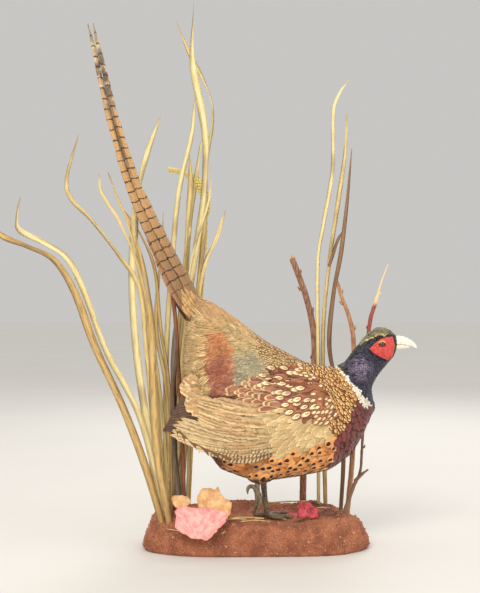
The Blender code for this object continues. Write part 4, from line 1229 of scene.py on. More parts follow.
def make_tail():
    finish = tail_finish()
    for sign, name in ((-1, "right"), (1, "left")):
        shares = np.linspace(0, 1, 110)
        middle, sides, uppers = tail_frames(shares)
        offset, half = at_share(TAIL_CENTRE, shares)
        half = half * (1 + 0.03 * np.sin(shares * 57 + sign))
        path = middle + sides * (sign * offset)[:, None] + uppers * (0.6 + 0.9 * sign)
        vane = strip(path, sides * sign, uppers, half, half, thick=0.3, ridge=0.9, camber=0.1, slant=0.45,
                     tone=0.5 + 0.1 * sign, cuts=0.3, seed=5 + sign)
        wear(strips_object(f"tail_long_{name}", [vane], finish), "tail", f"tail_centre_{name}")
        made = []
        for k, end in enumerate(TAIL_SIDE_ENDS):
            shares = np.linspace(0, end, 60)
            middle, sides, uppers = tail_frames(shares)
            edge = np.minimum(at_share(TAIL_SIDE, shares)[0], 8 + 2.9 * (k + 1))
            t = shares / end
            half = (7.2 - 0.25 * k) * np.minimum(0.75 + t, 1) * np.sqrt(np.maximum(1 - t**5, 0.004))
            down = 1.2 + 0.55 * k + (edge - 9) * 0.1
            path = middle + sides * (sign * (edge - half))[:, None] - uppers * down[:, None]
            made.append(strip(path, sides * sign, uppers, half, half, thick=0.25, ridge=0.6, camber=0.08,
                              slant=0.5, tone=(k * 0.37) % 1, cuts=0.35, seed=40 + k + sign))
        wear(strips_object(f"tail_steps_{name}", made, finish), "tail", f"tail_side_{name}")


def make_tail_coverts():
    """Small golden feathers that lie over the root of the tail."""
    gold, graph, join = material("tail_covert", 0.65, Sheen_Weight=0.2)
    colour = graph.mottled(200.0, 0.4, 0.65, paint(222, 178, 116), paint(184, 138, 86))
    finish_vane(graph, join, colour, 60.0, 0.1, 0.4, (0.4, paint(150, 110, 68)))
    made, draw = [], np.random.default_rng(29)
    for k in range(TAIL_COVERTS):
        spread = draw.uniform(-1, 1)
        shares = np.linspace(0.0, 0.07 + 0.07 * (1 - spread * spread) * draw.uniform(0.5, 1), 22)
        middle, sides, uppers = tail_frames(shares)
        t = np.linspace(0, 1, 22)
        half = 2.6 * np.sqrt(np.maximum(np.sin(np.pi * np.clip(t, 0.05, 0.985) ** 1.5), 0.01))
        height = 4.6 - 3.0 * abs(spread) ** 2 - 2.6 * t + draw.uniform(-0.6, 0.6)
        path = middle + sides * (spread * (17 + 5 * t))[:, None] + uppers * height[:, None]
        made.append(strip(path, sides, uppers, half, half, thick=0.25, camber=0.12, slant=0.5,
                          tone=draw.random(), cuts=0.7, seed=300 + k))
    wear(strips_object("tail_coverts", made, gold), "tail")


def make_under_tail():
    """Dark feathers under the root of the tail."""
    dark, graph, join = material("under_tail_feather", 0.7)
    colour = graph.mottled(90.0, 0.4, 0.6, paint(96, 52, 34), paint(60, 34, 26))
    finish_vane(graph, join, colour, 50.0, 0.1, 0.4)
    made = []
    for k in range(UNDER_TAIL):
        spread = (k + 0.5) / UNDER_TAIL * 2 - 1
        shares = np.linspace(0, 0.12 + 0.07 * (1 - abs(spread)), 24)
        middle, sides, uppers = tail_frames(shares)
        t = np.linspace(0, 1, 24)
        half = 5.5 * np.sqrt(np.maximum(np.sin(np.pi * np.clip(t, 0.04, 0.99) ** 1.4), 0.01))
        down = 9.5 - 2 * abs(spread) - 1.2 * t + (k % 2)
        path = middle + sides * (spread * 19 - 3) - uppers * down[:, None]
        made.append(strip(path, sides, uppers, half, half, thick=0.25, camber=0.15, slant=0.4,
                          tone=k / UNDER_TAIL, cuts=0.6, seed=70 + k))
    wear(strips_object("under_tail", made, dark), "tail")


# ------------------------------------------------------------------ wings

PRIMARIES = 9
# How deep the roots of the wing's feathers stand under its face.
ROOT_SUNK = 3.4
# For each row down the wing, from the front: its upper x and z, its lower x and z, then how far out the face
# of the wing stands at its top, middle and bottom.
WING_FACE = (
    (124, 228, 121, 208, 44, 50, 44), (99, 258, 87, 177, 46, 63, 52), (70, 266, 55, 162, 47, 65.5, 54),
    (40, 268, 21, 154, 48, 66, 54), (8, 268, -14, 147, 50, 65, 53), (-28, 268, -44, 139, 52, 62, 50),
    (-62, 268, -74, 149, 48, 56, 46), (-92, 268, -104, 162, 39, 48, 42), (-110, 256, -126, 184, 31, 40, 38),
)


def wing_out(x, z):
    """How far the wing's outer face stands from the middle of the bird at a place in the side view."""
    table = np.array(WING_FACE[::-1], float)
    rows = [np.interp(x, (table[:, 0] + table[:, 2]) / 2, table[:, k]) for k in range(7)]
    share = np.clip((rows[1] - z) / (rows[1] - rows[3]), -0.1, 1.1)
    bulge = rows[5] - (rows[4] + rows[6]) / 2
    return rows[4] + (rows[6] - rows[4]) * share + bulge * np.sin(np.pi * np.clip(share, 0, 1)) ** 0.8


def draped(sign, side_path, low_half, high_half, height, **look):
    """A long vane on the wing's face from its path in the side view. Its + edge looks down."""
    flat = np.asarray(side_path, float)
    ahead = unit(np.gradient(flat, axis=0))
    down = np.stack([ahead[:, 1], -ahead[:, 0]], -1)
    down *= np.where(down[:, 1:] > 0, -1, 1)
    reach = 6.0
    upper, lower = flat - down * reach, flat + down * reach
    middle_out = wing_out(flat[:, 0], flat[:, 1])
    tilt = (wing_out(lower[:, 0], lower[:, 1]) - wing_out(upper[:, 0], upper[:, 1])) / (2 * reach)
    aside = unit(np.stack([down[:, 0], tilt, down[:, 1]], -1))
    forward = unit(np.gradient(np.stack([flat[:, 0], middle_out, flat[:, 1]], -1), axis=0))
    above = unit(np.cross(forward, aside))
    above *= np.where(above[:, 1:2] < 0, -1, 1)
    path = np.stack([flat[:, 0], middle_out, flat[:, 1]], -1) + above * height[:, None]
    turn = np.array((1, sign, 1))
    return strip(path * turn, aside * turn, above * turn, low_half, high_half, **look)


def feather_route(root, bend, tip, rows=40):
    """A smooth line in the side view from root to tip, drawn towards a third place between them."""
    t = np.linspace(0, 1, rows)[:, None]
    root, bend, tip = (np.array(place, float) for place in (root, bend, tip))
    return root * (1 - t) ** 2 + bend * 2 * t * (1 - t) + tip * t**2


def vane_width(t, half, blunt=0.5, root=0.55):
    """Half widths of a feather: narrow at its root, full along most of it, rounded at its tip."""
    return half * (root + (1 - root) * smoothstep(0, 0.35, t)) * np.maximum(1 - t**9, 0.0005) ** blunt


def flight_finish(name, edge, web, stripe, bars):
    """Long wing feathers: a pale edge, a dark stripe inside it, mottled webs and faint bars."""
    stuff, graph, join = material(f"{name}_feather", 0.62, Sheen_Weight=0.2)
    across, run = graph.attribute("across"), graph.attribute("run")
    waver = graph.wander(1.3, 150.0, 4.0)
    lane = graph.plus(across, waver)
    colour = graph.mix(graph.between(graph.noise(300.0), 0.4, 0.7, 0.0, 0.5), web, stripe)
    dark = graph.times(graph.between(lane, -0.3, -0.02), graph.between(lane, 0.12, 0.36, 1.0, 0.0))
    dark = graph.times(dark, graph.between(graph.noise(75.0, 2.0), 0.36, 0.58, 0.15, 1.0))
    colour = graph.mix(graph.times(dark, 0.75), colour, stripe)
    colour = graph.mix(graph.between(lane, 0.32, 0.56), colour, edge)
    beat = graph.math("SINE", graph.plus(graph.times(run, 1.1), graph.times(waver, 4.0)))
    low = graph.between(graph.plus(graph.axis(2), graph.times(waver, 0.01)), 0.15, 0.172, 1.0, 0.0)
    low = graph.times(low, graph.between(graph.axis(0), -0.085, -0.055))
    barred = graph.times(graph.between(beat, -0.1, 0.5), graph.times(low, bars))
    colour = graph.mix(barred, colour, paint(110, 74, 46))
    finish_vane(graph, join, colour, 90.0, 0.06, 0.3, (0.5, stripe))
    return stuff


# Each group of long feathers in the wing: how many, the lines in the side view along which their roots, bends
# and tips stand, lowest feather first, the shares of a feather between which it rises from the wing, and then
# their half width, the height of the lowest and the step to the next.
FLIGHT_ROWS = {
    "secondaries": (13, ((32, 153), (46, 176)), ((-10, 138), (4, 164)),
                    ((-40, 145), (-66, 151), (-92, 162), (-112, 171), (-127, 180), (-125, 188),
                     (-119, 198), (-110, 207)),
                    (0.2, 0.6), (7.5, -0.7, 0.14)),
    "tertials": (8, ((48, 178), (40, 226)), ((2, 166), (-20, 222)),
                 ((-84, 204), (-92, 212), (-92, 221), (-100, 229), (-98, 236), (-104, 243)), (0.25, 0.7),
                 (8, 1.0, 0.16)),
    "greater_coverts": (13, ((54, 172), (42, 232)), ((16, 150), (2, 222)),
                        ((-22, 150), (-48, 163), (-42, 180), (-62, 190), (-48, 206), (-66, 216),
                         (-50, 228), (-60, 240)),
                        (0.35, 0.8), (6.5, 1.6, 0.1)),
    "rear_scallops": (10, ((-74, 208), (-80, 262)), ((-86, 213), (-92, 263)),
                      ((-90, 214), (-103, 226), (-100, 240), (-112, 250), (-108, 261), (-98, 270)), (0, 0.6),
                      (8.5, 2.6, 0.1)),
}


def make_wings():
    finishes = {"secondaries": flight_finish("flight", paint(242, 216, 166), paint(224, 194, 142),
                                             paint(150, 112, 74), 0.9),
                "tertials": flight_finish("tertial", paint(244, 214, 160), paint(220, 184, 128),
                                          paint(146, 106, 66), 0.1),
                "greater_coverts": flight_finish("greater_covert", paint(234, 202, 150), paint(214, 176, 124),
                                                 paint(150, 108, 72), 0.3),
                "rear_scallops": flight_finish("scallop", paint(244, 214, 160), paint(206, 164, 112),
                                               paint(176, 130, 86), 0.0)}
    dark = flight_finish("primary", paint(124, 92, 68), paint(98, 68, 50), paint(70, 46, 36), 0.3)
    t = np.linspace(0, 1, 40)
    for sign, side in ((-1, "right"), (1, "left")):
        draw = np.random.default_rng(17 + sign)
        for name, (count, roots, bends, tips, rise, (half, first, step)) in FLIGHT_ROWS.items():
            made = []
            for k in range(count):
                f = (k + 0.5) / count
                root, bend, tip = (along_rows(line, f) + draw.normal(0, 1.2, 2)
                                   for line in (roots, bends, tips))
                risen = smoothstep(*rise, t + draw.normal(0, 0.09))
                height = -ROOT_SUNK + (ROOT_SUNK + first + step * k) * risen + 0.5 * t
                wide = half * draw.uniform(0.88, 1.1)
                made.append(draped(sign, feather_route(root, bend, tip), vane_width(t, wide),
                                   vane_width(t, wide * 0.9), height, thick=0.22, ridge=0.35, camber=0.05,
                                   slant=0.5, tone=draw.random(), cuts=0.4, seed=100 + k))
            wear(strips_object(f"{name}_{side}", made, finishes[name]), "wing")
        made = []
        for k in range(PRIMARIES):
            f = k / (PRIMARIES - 1)
            route = feather_route((-44, 204 + 30 * f), (-92, 203 + 30 * f), (-139 + 22 * f, 185 + 38 * f))
            made.append(draped(sign, route, vane_width(t, 7), vane_width(t, 7), -1.6 + 0.18 * k + 0.4 * t,
                               thick=0.25, ridge=0.5, camber=0.06, slant=0.5, tone=(k * 0.47) % 1, cuts=0.3,
                               seed=190 + k))
        wear(strips_object(f"primary_vanes_{side}", made, dark), "primaries", f"primaries_{side}")


# ------------------------------------------------------------------ head: face, eyes and bill

EYE_PLACE = (196, 12.4, 316)
EYE_RADIUS = 5.6
LID_ROUND, LID_THICK = 44, 10
EYE_OPEN = (5.8, 4.9)
# The wattle's net, how far its base runs past its edge, how far it keeps from the bird's middle and how deep
# its rim is sunk, in millimetres.
WATTLE_NET, WATTLE_BEYOND, WATTLE_FROM_MIDDLE, WATTLE_RIM = 0.7, 2.2, 3, 3.6
BILL_UPPER = ((214, 327, 316, 7.5), (221, 328, 315.5, 7.2), (229, 327.6, 315, 6.2), (237, 325, 314, 5.2),
              (244, 321.2, 312.4, 4.1), (249, 317, 310.2, 2.9), (252, 312.6, 309, 1.2))
BILL_LOWER = ((214, 315, 307, 6.2), (221, 314.6, 306.6, 5.8), (229, 314, 307.5, 4.8), (236, 313, 308.8, 3.4),
              (241.5, 312, 309.8, 1.5))


def make_papillae_tree():
    """Covers a surface closely with small domes, and keeps the surface under them."""
    tree, graph, inputs, output = geometry_tree("papillae", [
        ("Apart", "Float", 0.001), ("Reach", "Float", 0.0006), ("Seed", "Int", 1),
        ("Finish", "Material", None)])
    roots = graph.roots(inputs, 3.0)
    dome = graph.node("GeometryNodeMeshIcoSphere", 1.0, 1).outputs[0]
    domes = graph.balls(roots["Points"], dome, roots["Rotation"], 0.7, 1.25, inputs)
    joined = graph.node("GeometryNodeJoinGeometry")
    for piece in (inputs["Geometry"], graph.node("GeometryNodeSetShadeSmooth", domes).outputs[0]):
        tree.links.new(piece, joined.inputs[0])
    graph.hand_over(joined.outputs[0], inputs, output)
    return tree


def inside_depth(outline, x, z):
    """How deep places lie inside an outline in the side view, and below nought how far outside it."""
    ends = np.array(outline, float)
    nearest = np.full(len(x), np.inf)
    for start, end in zip(ends, np.roll(ends, -1, axis=0)):
        along = end - start
        share = np.clip(((x - start[0]) * along[0] + (z - start[1]) * along[1]) / (along @ along), 0, 1)
        nearest = np.minimum(nearest, np.hypot(x - start[0] - share * along[0],
                                               z - start[1] - share * along[1]))
    return np.where(inside(outline, x, z), nearest, -nearest)


def trim(mesh, kept):
    """Cuts away the corners of a mesh that are not to be kept."""
    with opened(mesh) as bm:
        bmesh.ops.delete(bm, geom=[corner for corner in bm.verts if not kept[corner.index]], context="VERTS")


def close_holes(mesh):
    with opened(mesh) as bm:
        bmesh.ops.holes_fill(bm, edges=[edge for edge in bm.edges if edge.is_boundary], sides=0)


def make_wattles(tree):
    stuff, graph, join = material("wattle_skin", 0.42, Subsurface_Weight=0.15, Subsurface_Scale=0.004,
                                  Coat_Weight=0.1)
    red = graph.mottled(300.0, 0.3, 0.7, paint(240, 98, 88), paint(212, 58, 54))
    join(graph.mottled(2400.0, 0.5, 0.8, red, paint(252, 150, 136)))
    bump(graph, join, graph.noise(2800.0), 0.5, 0.3)
    for side in ("right", "left"):
        base = merged_copy("wattle_base", f"wattle_{side}", "head")
        remesh(base, WATTLE_NET)
        smooth(base, 9)
        places = read_points(base.data)
        within = inside_depth(WATTLE_EDGE, places[:, 0] / MM, places[:, 2] / MM)
        own_side = places[:, 1] * (1 if side == "left" else -1) > WATTLE_FROM_MIDDLE * MM
        trim(base.data, (within > -WATTLE_BEYOND) & own_side)
        places = read_points(base.data)
        within = inside_depth(WATTLE_EDGE, places[:, 0] / MM, places[:, 2] / MM)
        rim = WATTLE_RIM * (1 - smoothstep(-0.6, 0.8, within))
        places -= read_normals(base.data) * (rim * MM)[:, None]
        sunk = -0.5 * smoothstep(2, 8, within)
        sunk = sunk - 2.4 * smoothstep(-0.5, 1.2, within) * smoothstep(200, 211, places[:, 0] / MM)
        from_eye = np.hypot((places[:, 0] / MM - EYE_PLACE[0]) / EYE_OPEN[0],
                            (places[:, 2] / MM - EYE_PLACE[2]) / EYE_OPEN[1])
        sunk = sunk + 4.5 * (1 - smoothstep(0.85, 1.12, from_eye))
        places[:, 1] -= np.sign(places[:, 1]) * sunk * MM
        write_points(base.data, places)
        made = run_tree(f"wattle_face_{side}", base, tree,
                        {"Apart": 1.0 * MM, "Reach": 0.68 * MM, "Seed": 3, "Finish": stuff})
        bpy.data.objects.remove(base)
        close_holes(made.data)
        wear(made, "wattle", f"wattle_{side}")


def ball(name, middle, radius, segments=40):
    """A round ball at a place in millimetres, its poles to front and back."""
    bm = bmesh.new()
    bmesh.ops.create_uvsphere(bm, u_segments=segments, v_segments=segments // 2, radius=radius * MM)
    bmesh.ops.rotate(bm, verts=bm.verts, matrix=Matrix.Rotation(math.pi / 2, 3, "X"))
    bmesh.ops.translate(bm, verts=bm.verts, vec=Vector(middle) * MM)
    mesh = bpy.data.meshes.new(name)
    bm.to_mesh(mesh)
    bm.free()
    mesh.shade_smooth()
    return add_object(name, mesh)


def make_eyes():
    stuff, graph, join = material("eye_glass", 0.06, Coat_Weight=1.0, Coat_Roughness=0.03)
    far = graph.math("DIVIDE", graph.from_side_place(EYE_PLACE[0], EYE_PLACE[2]), MM)
    iris = graph.mottled(1800.0, 0.35, 0.65, paint(138, 76, 38), paint(92, 46, 24))
    colour = graph.mix(graph.between(far, 2.0, 2.3), paint(6, 4, 4), iris)
    join(graph.mix(graph.between(far, 3.5, 4.1), colour, paint(30, 14, 10)))
    lid, graph, join = material("eye_lid", 0.5)
    rim = graph.mottled(900.0, 0.4, 0.6, paint(140, 44, 34), paint(176, 80, 62))
    # The lid's upper half is pale gold: partly the pale brow above the eye and partly a painted highlight
    # from the light above.
    join(graph.mix(graph.between(graph.axis(2), 0.3165, 0.3185), rim, paint(222, 176, 116)))
    bump(graph, join, graph.noise(3200.0), 0.5, 0.2)
    for sign, side in ((-1, "right"), (1, "left")):
        middle = Vector((EYE_PLACE[0], sign * EYE_PLACE[1], EYE_PLACE[2]))
        eye = ball(f"eyeball_{side}", middle + Vector((0, sign * 0.9, 0)), EYE_RADIUS)
        eye.data.materials.append(stuff)
        wear(eye, "eye", f"eye_{side}")
        ring_points = []
        for k in range(LID_ROUND):
            angle = 2 * math.pi * k / LID_ROUND
            centre = middle + Vector((EYE_OPEN[0] * 0.92 * math.cos(angle), sign * 5.5,
                                      EYE_OPEN[1] * 0.92 * math.sin(angle)))
            fat = 0.8 + 0.35 * math.sin(angle)
            out = Vector((math.cos(angle), 0, math.sin(angle)))
            ring_points += [centre + out * fat * math.cos(a) + Vector((0, sign * fat * math.sin(a), 0))
                            for a in (2 * math.pi * m / LID_THICK for m in range(LID_THICK))]
        faces = []
        for k in range(LID_ROUND):
            here, after = k * LID_THICK, (k + 1) % LID_ROUND * LID_THICK
            faces += [(here + m, here + (m + 1) % LID_THICK, after + (m + 1) % LID_THICK, after + m)
                      for m in range(LID_THICK)]
        closed_piece(f"lids_{side}", ring_points, faces, lid, "wattle")


def tube_faces(rows, around):
    """Faces of a closed tube whose first and last points are poles."""
    faces = []
    for r in range(rows - 1):
        for k in range(around):
            n = (k + 1) % around
            faces.append((1 + r * around + k, 1 + r * around + n,
                          1 + (r + 1) * around + n, 1 + (r + 1) * around + k))
    last = 1 + rows * around
    for k in range(around):
        n = (k + 1) % around
        faces.append((0, 1 + n, 1 + k))
        faces.append((last, last - around + k, last - around + n))
    return faces


def make_bill():
    stuff, graph, join = material("bill_horn", 0.38, Coat_Weight=0.2, Subsurface_Weight=0.1,
                                  Subsurface_Scale=0.003)
    horn = graph.mottled(220.0, 0.35, 0.7, paint(252, 250, 236), paint(232, 224, 200))
    streaks = graph.noise(2600.0, 3.0, graph.place((0.12, 1.0, 1.0)))
    horn = graph.mix(graph.between(streaks, 0.5, 0.8), horn, paint(214, 202, 172))
    join(graph.mix(graph.between(graph.axis(0), 0.213, 0.222, 1.0, 0.0), horn, paint(150, 138, 116)))
    bump(graph, join, streaks, 0.25, 0.3)
    for name, rows, upper in (("upper", BILL_UPPER, True), ("lower", BILL_LOWER, False)):
        around, along = 28, 34
        sizes = along_rows(rows, np.linspace(0, 1, along))
        points = [(sizes[0, 0] - 1.5, 0, (sizes[0, 1] + sizes[0, 2]) / 2)]
        for x, top, bottom, half in sizes:
            half = max(half, 0.25)
            for k in range(around):
                angle = 2 * math.pi * k / around
                up, out = math.cos(angle), math.sin(angle)
                if upper:
                    z = bottom + (top - bottom) * (max(up, 0) ** 0.85 if up > 0 else 0.06 * up)
                    y = half * math.copysign(abs(out) ** 0.8, out) * (1.0 if up > 0 else 0.96)
                    dent = math.exp(-((x - 222) / 2.6) ** 2 - ((z - 320.5) / 1.2) ** 2)
                    y *= 1 - 0.26 * dent
                else:
                    z = top + (top - bottom) * (-(max(-up, 0) ** 0.85) if up < 0 else 0.04 * up)
                    y = half * math.copysign(abs(out) ** 0.8, out)
                points.append((x, y, z))
        points.append((sizes[-1, 0] + 0.3, 0, (sizes[-1, 1] + sizes[-1, 2]) / 2))
        closed_piece(f"bill_horn_{name}", points, tube_faces(along, around), stuff, "bill", f"bill_{name}")


# ------------------------------------------------------------------ legs and feet

TARSUS = {"left": ((14, 24, 112), (16, 15, 82), (18, 6, 66), (19, 2, 58), (19, 0, 51.5)),
          "right": ((8, -24, 119), (6, -25, 108), (4.5, -27, 101), (3.5, -28, 94))}
SHANK_RADII = (5.4, 4.4, 4.1, 4.0, 4.4)
TOE_SHARE = 0.84
# Each foot: its hub, then the points that each toe passes on its way to the claw's tip.
FEET = {
    "left": ((19, 0, 51.5), (
        ((30, -3, 50), (42, -5, 49.6), (53, -6.5, 49), (61, -7.5, 47.4)),
        ((27, -10, 49.8), (36, -17, 49.4), (44, -23, 49), (50, -27, 47.6)),
        ((29, 9, 50.4), (39, 16, 50.4), (47, 22, 50), (54, 26, 48.6)),
        ((12, 3, 50.4), (6, 5, 49.8), (2, 6, 49), (-2, 7, 47.6)))),
    "right": ((3.5, -28, 94), (
        ((4, -31, 82), (3, -30, 71), (0, -28, 61), (-2, -27, 53.5)),
        ((8, -34, 84), (8.5, -36, 75), (5.5, -35, 66), (2, -33.5, 58)),
        ((7, -24, 84), (7.5, -21, 76), (5, -20, 67), (2, -20, 59)),
        ((-1, -27, 98.5), (-7, -27, 99), (-10.5, -27, 94.5), (-10, -27, 87)))),
}


def scaled_limb(path, radii, scutes, depth, around=20, rows=60):
    """Points and faces of a round limb with overlapping plates along it, in millimetres."""
    shares = np.linspace(0, 1, rows)
    middle = along_rows(path, shares)
    ahead = unit(np.gradient(middle, axis=0))
    radius = along_rows(np.array(radii)[:, None], shares)[:, 0]
    points = [middle[0] - ahead[0] * radius[0] * 0.4]
    for t, place, way, wide in zip(shares, middle, ahead, radius):
        side = unit(np.cross(way, (0.05, 1, 0.02)))
        up = np.cross(side, way)
        for k in range(around):
            angle = 2 * math.pi * k / around
            front = 0.5 + 0.5 * math.cos(angle)
            plate = (t * scutes + (0.5 if front < 0.5 else 0)) % 1
            net = math.sin(angle * 6 + t * scutes * 5) * 0.3
            swell = 1 + depth * ((plate**0.5 - 0.6) * front + net * (1 - front))
            points.append(place + (side * math.cos(angle) + up * math.sin(angle)) * wide * swell)
    points.append(middle[-1] + ahead[-1] * radius[-1] * 0.6)
    return points, tube_faces(rows, around)


def join_parts(parts):
    points, faces = [], []
    for own_points, own_faces in parts:
        faces += [[len(points) + v for v in face] for face in own_faces]
        points += list(own_points)
    return points, faces


def make_legs():
    stuff, graph, join = material("leg_scales", 0.5, Coat_Weight=0.1)
    horn = graph.mottled(240.0, 0.35, 0.65, paint(160, 140, 108), paint(112, 90, 68))
    cells = graph.node("ShaderNodeTexVoronoi", feature="DISTANCE_TO_EDGE",
                       named={"Vector": graph.place(), "Scale": 700.0})
    seam = graph.between(cells.outputs[0], 0.02, 0.14)
    join(graph.mix(seam, paint(74, 60, 46), horn))
    bump(graph, join, seam, 0.6, 0.35)
    claw, graph, join = material("claw_horn", 0.35, Coat_Weight=0.2)
    join(graph.mottled(500.0, 0.4, 0.7, paint(96, 80, 60), paint(176, 158, 116)))
    bump(graph, join, graph.noise(900.0), 0.2, 0.2)
    for side in ("left", "right"):
        radii = SHANK_RADII[:len(TARSUS[side])]
        shank = scaled_limb(TARSUS[side], radii, 15, 0.13, rows=80)
        closed_piece(f"shank_{side}", *shank, stuff, "leg", f"tarsus_{side}")
        hub, toes = FEET[side]
        parts, claws = [], []
        for toe in toes:
            path = np.array((hub, *toe), float)
            toe_path = along_rows(path, np.linspace(0, TOE_SHARE, 6))
            parts.append(scaled_limb(toe_path, (4.2, 3.6, 3.2, 3.0, 2.6, 2.0), 13, 0.16))
            claw_path = along_rows(path, np.linspace(TOE_SHARE - 0.05, 1, 5))
            claws.append(scaled_limb(claw_path, (1.9, 1.8, 1.4, 0.9, 0.25), 1, 0.0, around=14, rows=16))
        pad = scaled_limb((np.array(hub) + (0, 0, 4), np.array(hub), np.array(hub) - (0, 0, 2.5)),
                          (3.6, 5.2, 4.2), 3, 0.1, rows=16)
        closed_piece(f"toes_{side}", *join_parts([*parts, pad]), stuff, "leg", f"foot_{side}")
        closed_piece(f"claws_{side}", *join_parts(claws), claw, "leg")
    spur = np.array(((14.5, 9, 70), (10, 10, 70.5), (6.5, 10.5, 73)))
    spur = scaled_limb(spur, (2.6, 1.8, 0.3), 1, 0.0, around=14, rows=14)
    closed_piece("spur_left", *spur, claw, "leg")


# ------------------------------------------------------------------ earth

GROUND_NET = 2.3
GROUND_SLOPE = 0.055
GRIT_FROM = 4


def make_grit_tree():
    """Scatters small rough stones on a surface."""
    tree, graph, inputs, output = geometry_tree("grit", [
        ("Apart", "Float", 0.003), ("Crowd", "Float", 1.0), ("Reach", "Float", 0.001), ("Seed", "Int", 1),
        ("Finish", "Material", None)])
    roots = graph.roots(inputs, inputs["Crowd"])
    stone = graph.node("GeometryNodeMeshIcoSphere", 1.0, 1).outputs[0]
    rough = graph.node("ShaderNodeTexNoise", named={"Scale": 1.4})
    push = graph.scaled(graph.vector("SUBTRACT", rough.outputs[1], (0.5, 0.5, 0.5)), 0.9)
    stone = graph.node("GeometryNodeSetPosition", stone, named={"Offset": push}).outputs[0]
    spin = graph.random((0, 0, 0), (6.28, 6.28, 6.28), kind="FLOAT_VECTOR")
    stones = graph.balls(roots["Points"], stone, spin, 0.35, 1.3, inputs)
    graph.hand_over(stones, inputs, output)
    return tree


def soil_finish():
    """Crumbly red earth, with painted shade in the hollow ahead of the feet."""
    soil, graph, join = material("red_earth", 0.9)
    marks = graph.group(SPECKLE, Scale=420.0, Share=0.36)
    colour = graph.mix(graph.between(marks["Blotch"], 0.35, 0.65), paint(190, 118, 84), paint(150, 88, 62))
    colour = graph.mix(graph.between(graph.noise(900.0, 5.0), 0.46, 0.72), colour, paint(98, 56, 42))
    ahead, high = graph.between(graph.axis(0), 0.075, 0.095), graph.between(graph.axis(2), 0.05, 0.058)
    # Painted shade: the hollow ahead of the feet is darkened nearly to black.
    hollow = graph.times(ahead, high)
    colour = graph.mix(graph.times(hollow, 0.7), colour, paint(48, 28, 24))
    join(graph.mix(graph.times(marks["Mask"], 0.8), colour, paint(206, 156, 120)))
    rough = graph.plus(graph.noise(260.0, 6.0), graph.times(graph.noise(1300.0, 4.0), 0.5))
    bump(graph, join, rough, 0.9, 1.6)
    return soil


def make_ground():
    """The base of earth: crumbly, on a level underside, and drawn in a little towards its top."""
    ground = merged_copy("earth", "base")
    remesh(ground, GROUND_NET)
    mesh = ground.data
    points, normals = read_points(mesh), read_normals(mesh)
    lumps = np.array([noise.fractal(Vector(p) * 55, 0.9, 2.1, 5) for p in points])
    clods = np.array([noise.cell(Vector(p) * 190) for p in points])
    held = smoothstep(0.001, 0.008, points[:, 2])
    points[:, 0] -= points[:, 0] * GROUND_SLOPE * smoothstep(0.006, 0.05, points[:, 2])
    points = points + normals * ((lumps * 1.9 + clods * 0.5 - 0.9) * MM * held)[:, None]
    write_points(mesh, points)
    mesh.materials.append(soil_finish())
    mesh.shade_smooth()
    make_grit(mesh)
    wear(ground, "earth", "base")


def make_grit(earth):
    """Fine and coarse stones on the earth, but for its underside."""
    pebble, graph, join = material("grit_stone", 0.85)
    marks = graph.group(SPECKLE, Scale=900.0, Share=0.4)
    colour = graph.mix(graph.between(graph.noise(90.0, 3.0), 0.5, 0.66), paint(166, 100, 72),
                       paint(206, 150, 114))
    colour = graph.mix(graph.between(graph.noise(28.0), 0.52, 0.66, 0.0, 0.7), colour, paint(124, 74, 54))
    join(graph.mix(marks["Mask"], colour, paint(206, 160, 128)))
    bump(graph, join, graph.noise(2400.0), 0.5, 0.2)
    tree = make_grit_tree()
    bed = add_object("grit_bed", earth.copy())
    with opened(bed.data) as bm:
        under = [face for face in bm.faces if face.calc_center_median().z < GRIT_FROM * MM]
        bmesh.ops.delete(bm, geom=under, context="FACES")
    for name, apart, crowd, reach, seed in (("grit_fine", 2.9, 1.0, 0.9, 4),
                                            ("grit_coarse", 9.0, 0.5, 2.0, 9)):
        grit = run_tree(name, bed, tree, {"Apart": apart * MM, "Crowd": crowd, "Reach": reach * MM,
                                          "Seed": seed, "Finish": pebble})
        clear = read_points(grit.data)
        clear[:, 2] = np.maximum(clear[:, 2], 0.0003)
        write_points(grit.data, clear)
        wear(grit, "earth")
    bpy.data.objects.remove(bed)


# ------------------------------------------------------------------ grasses

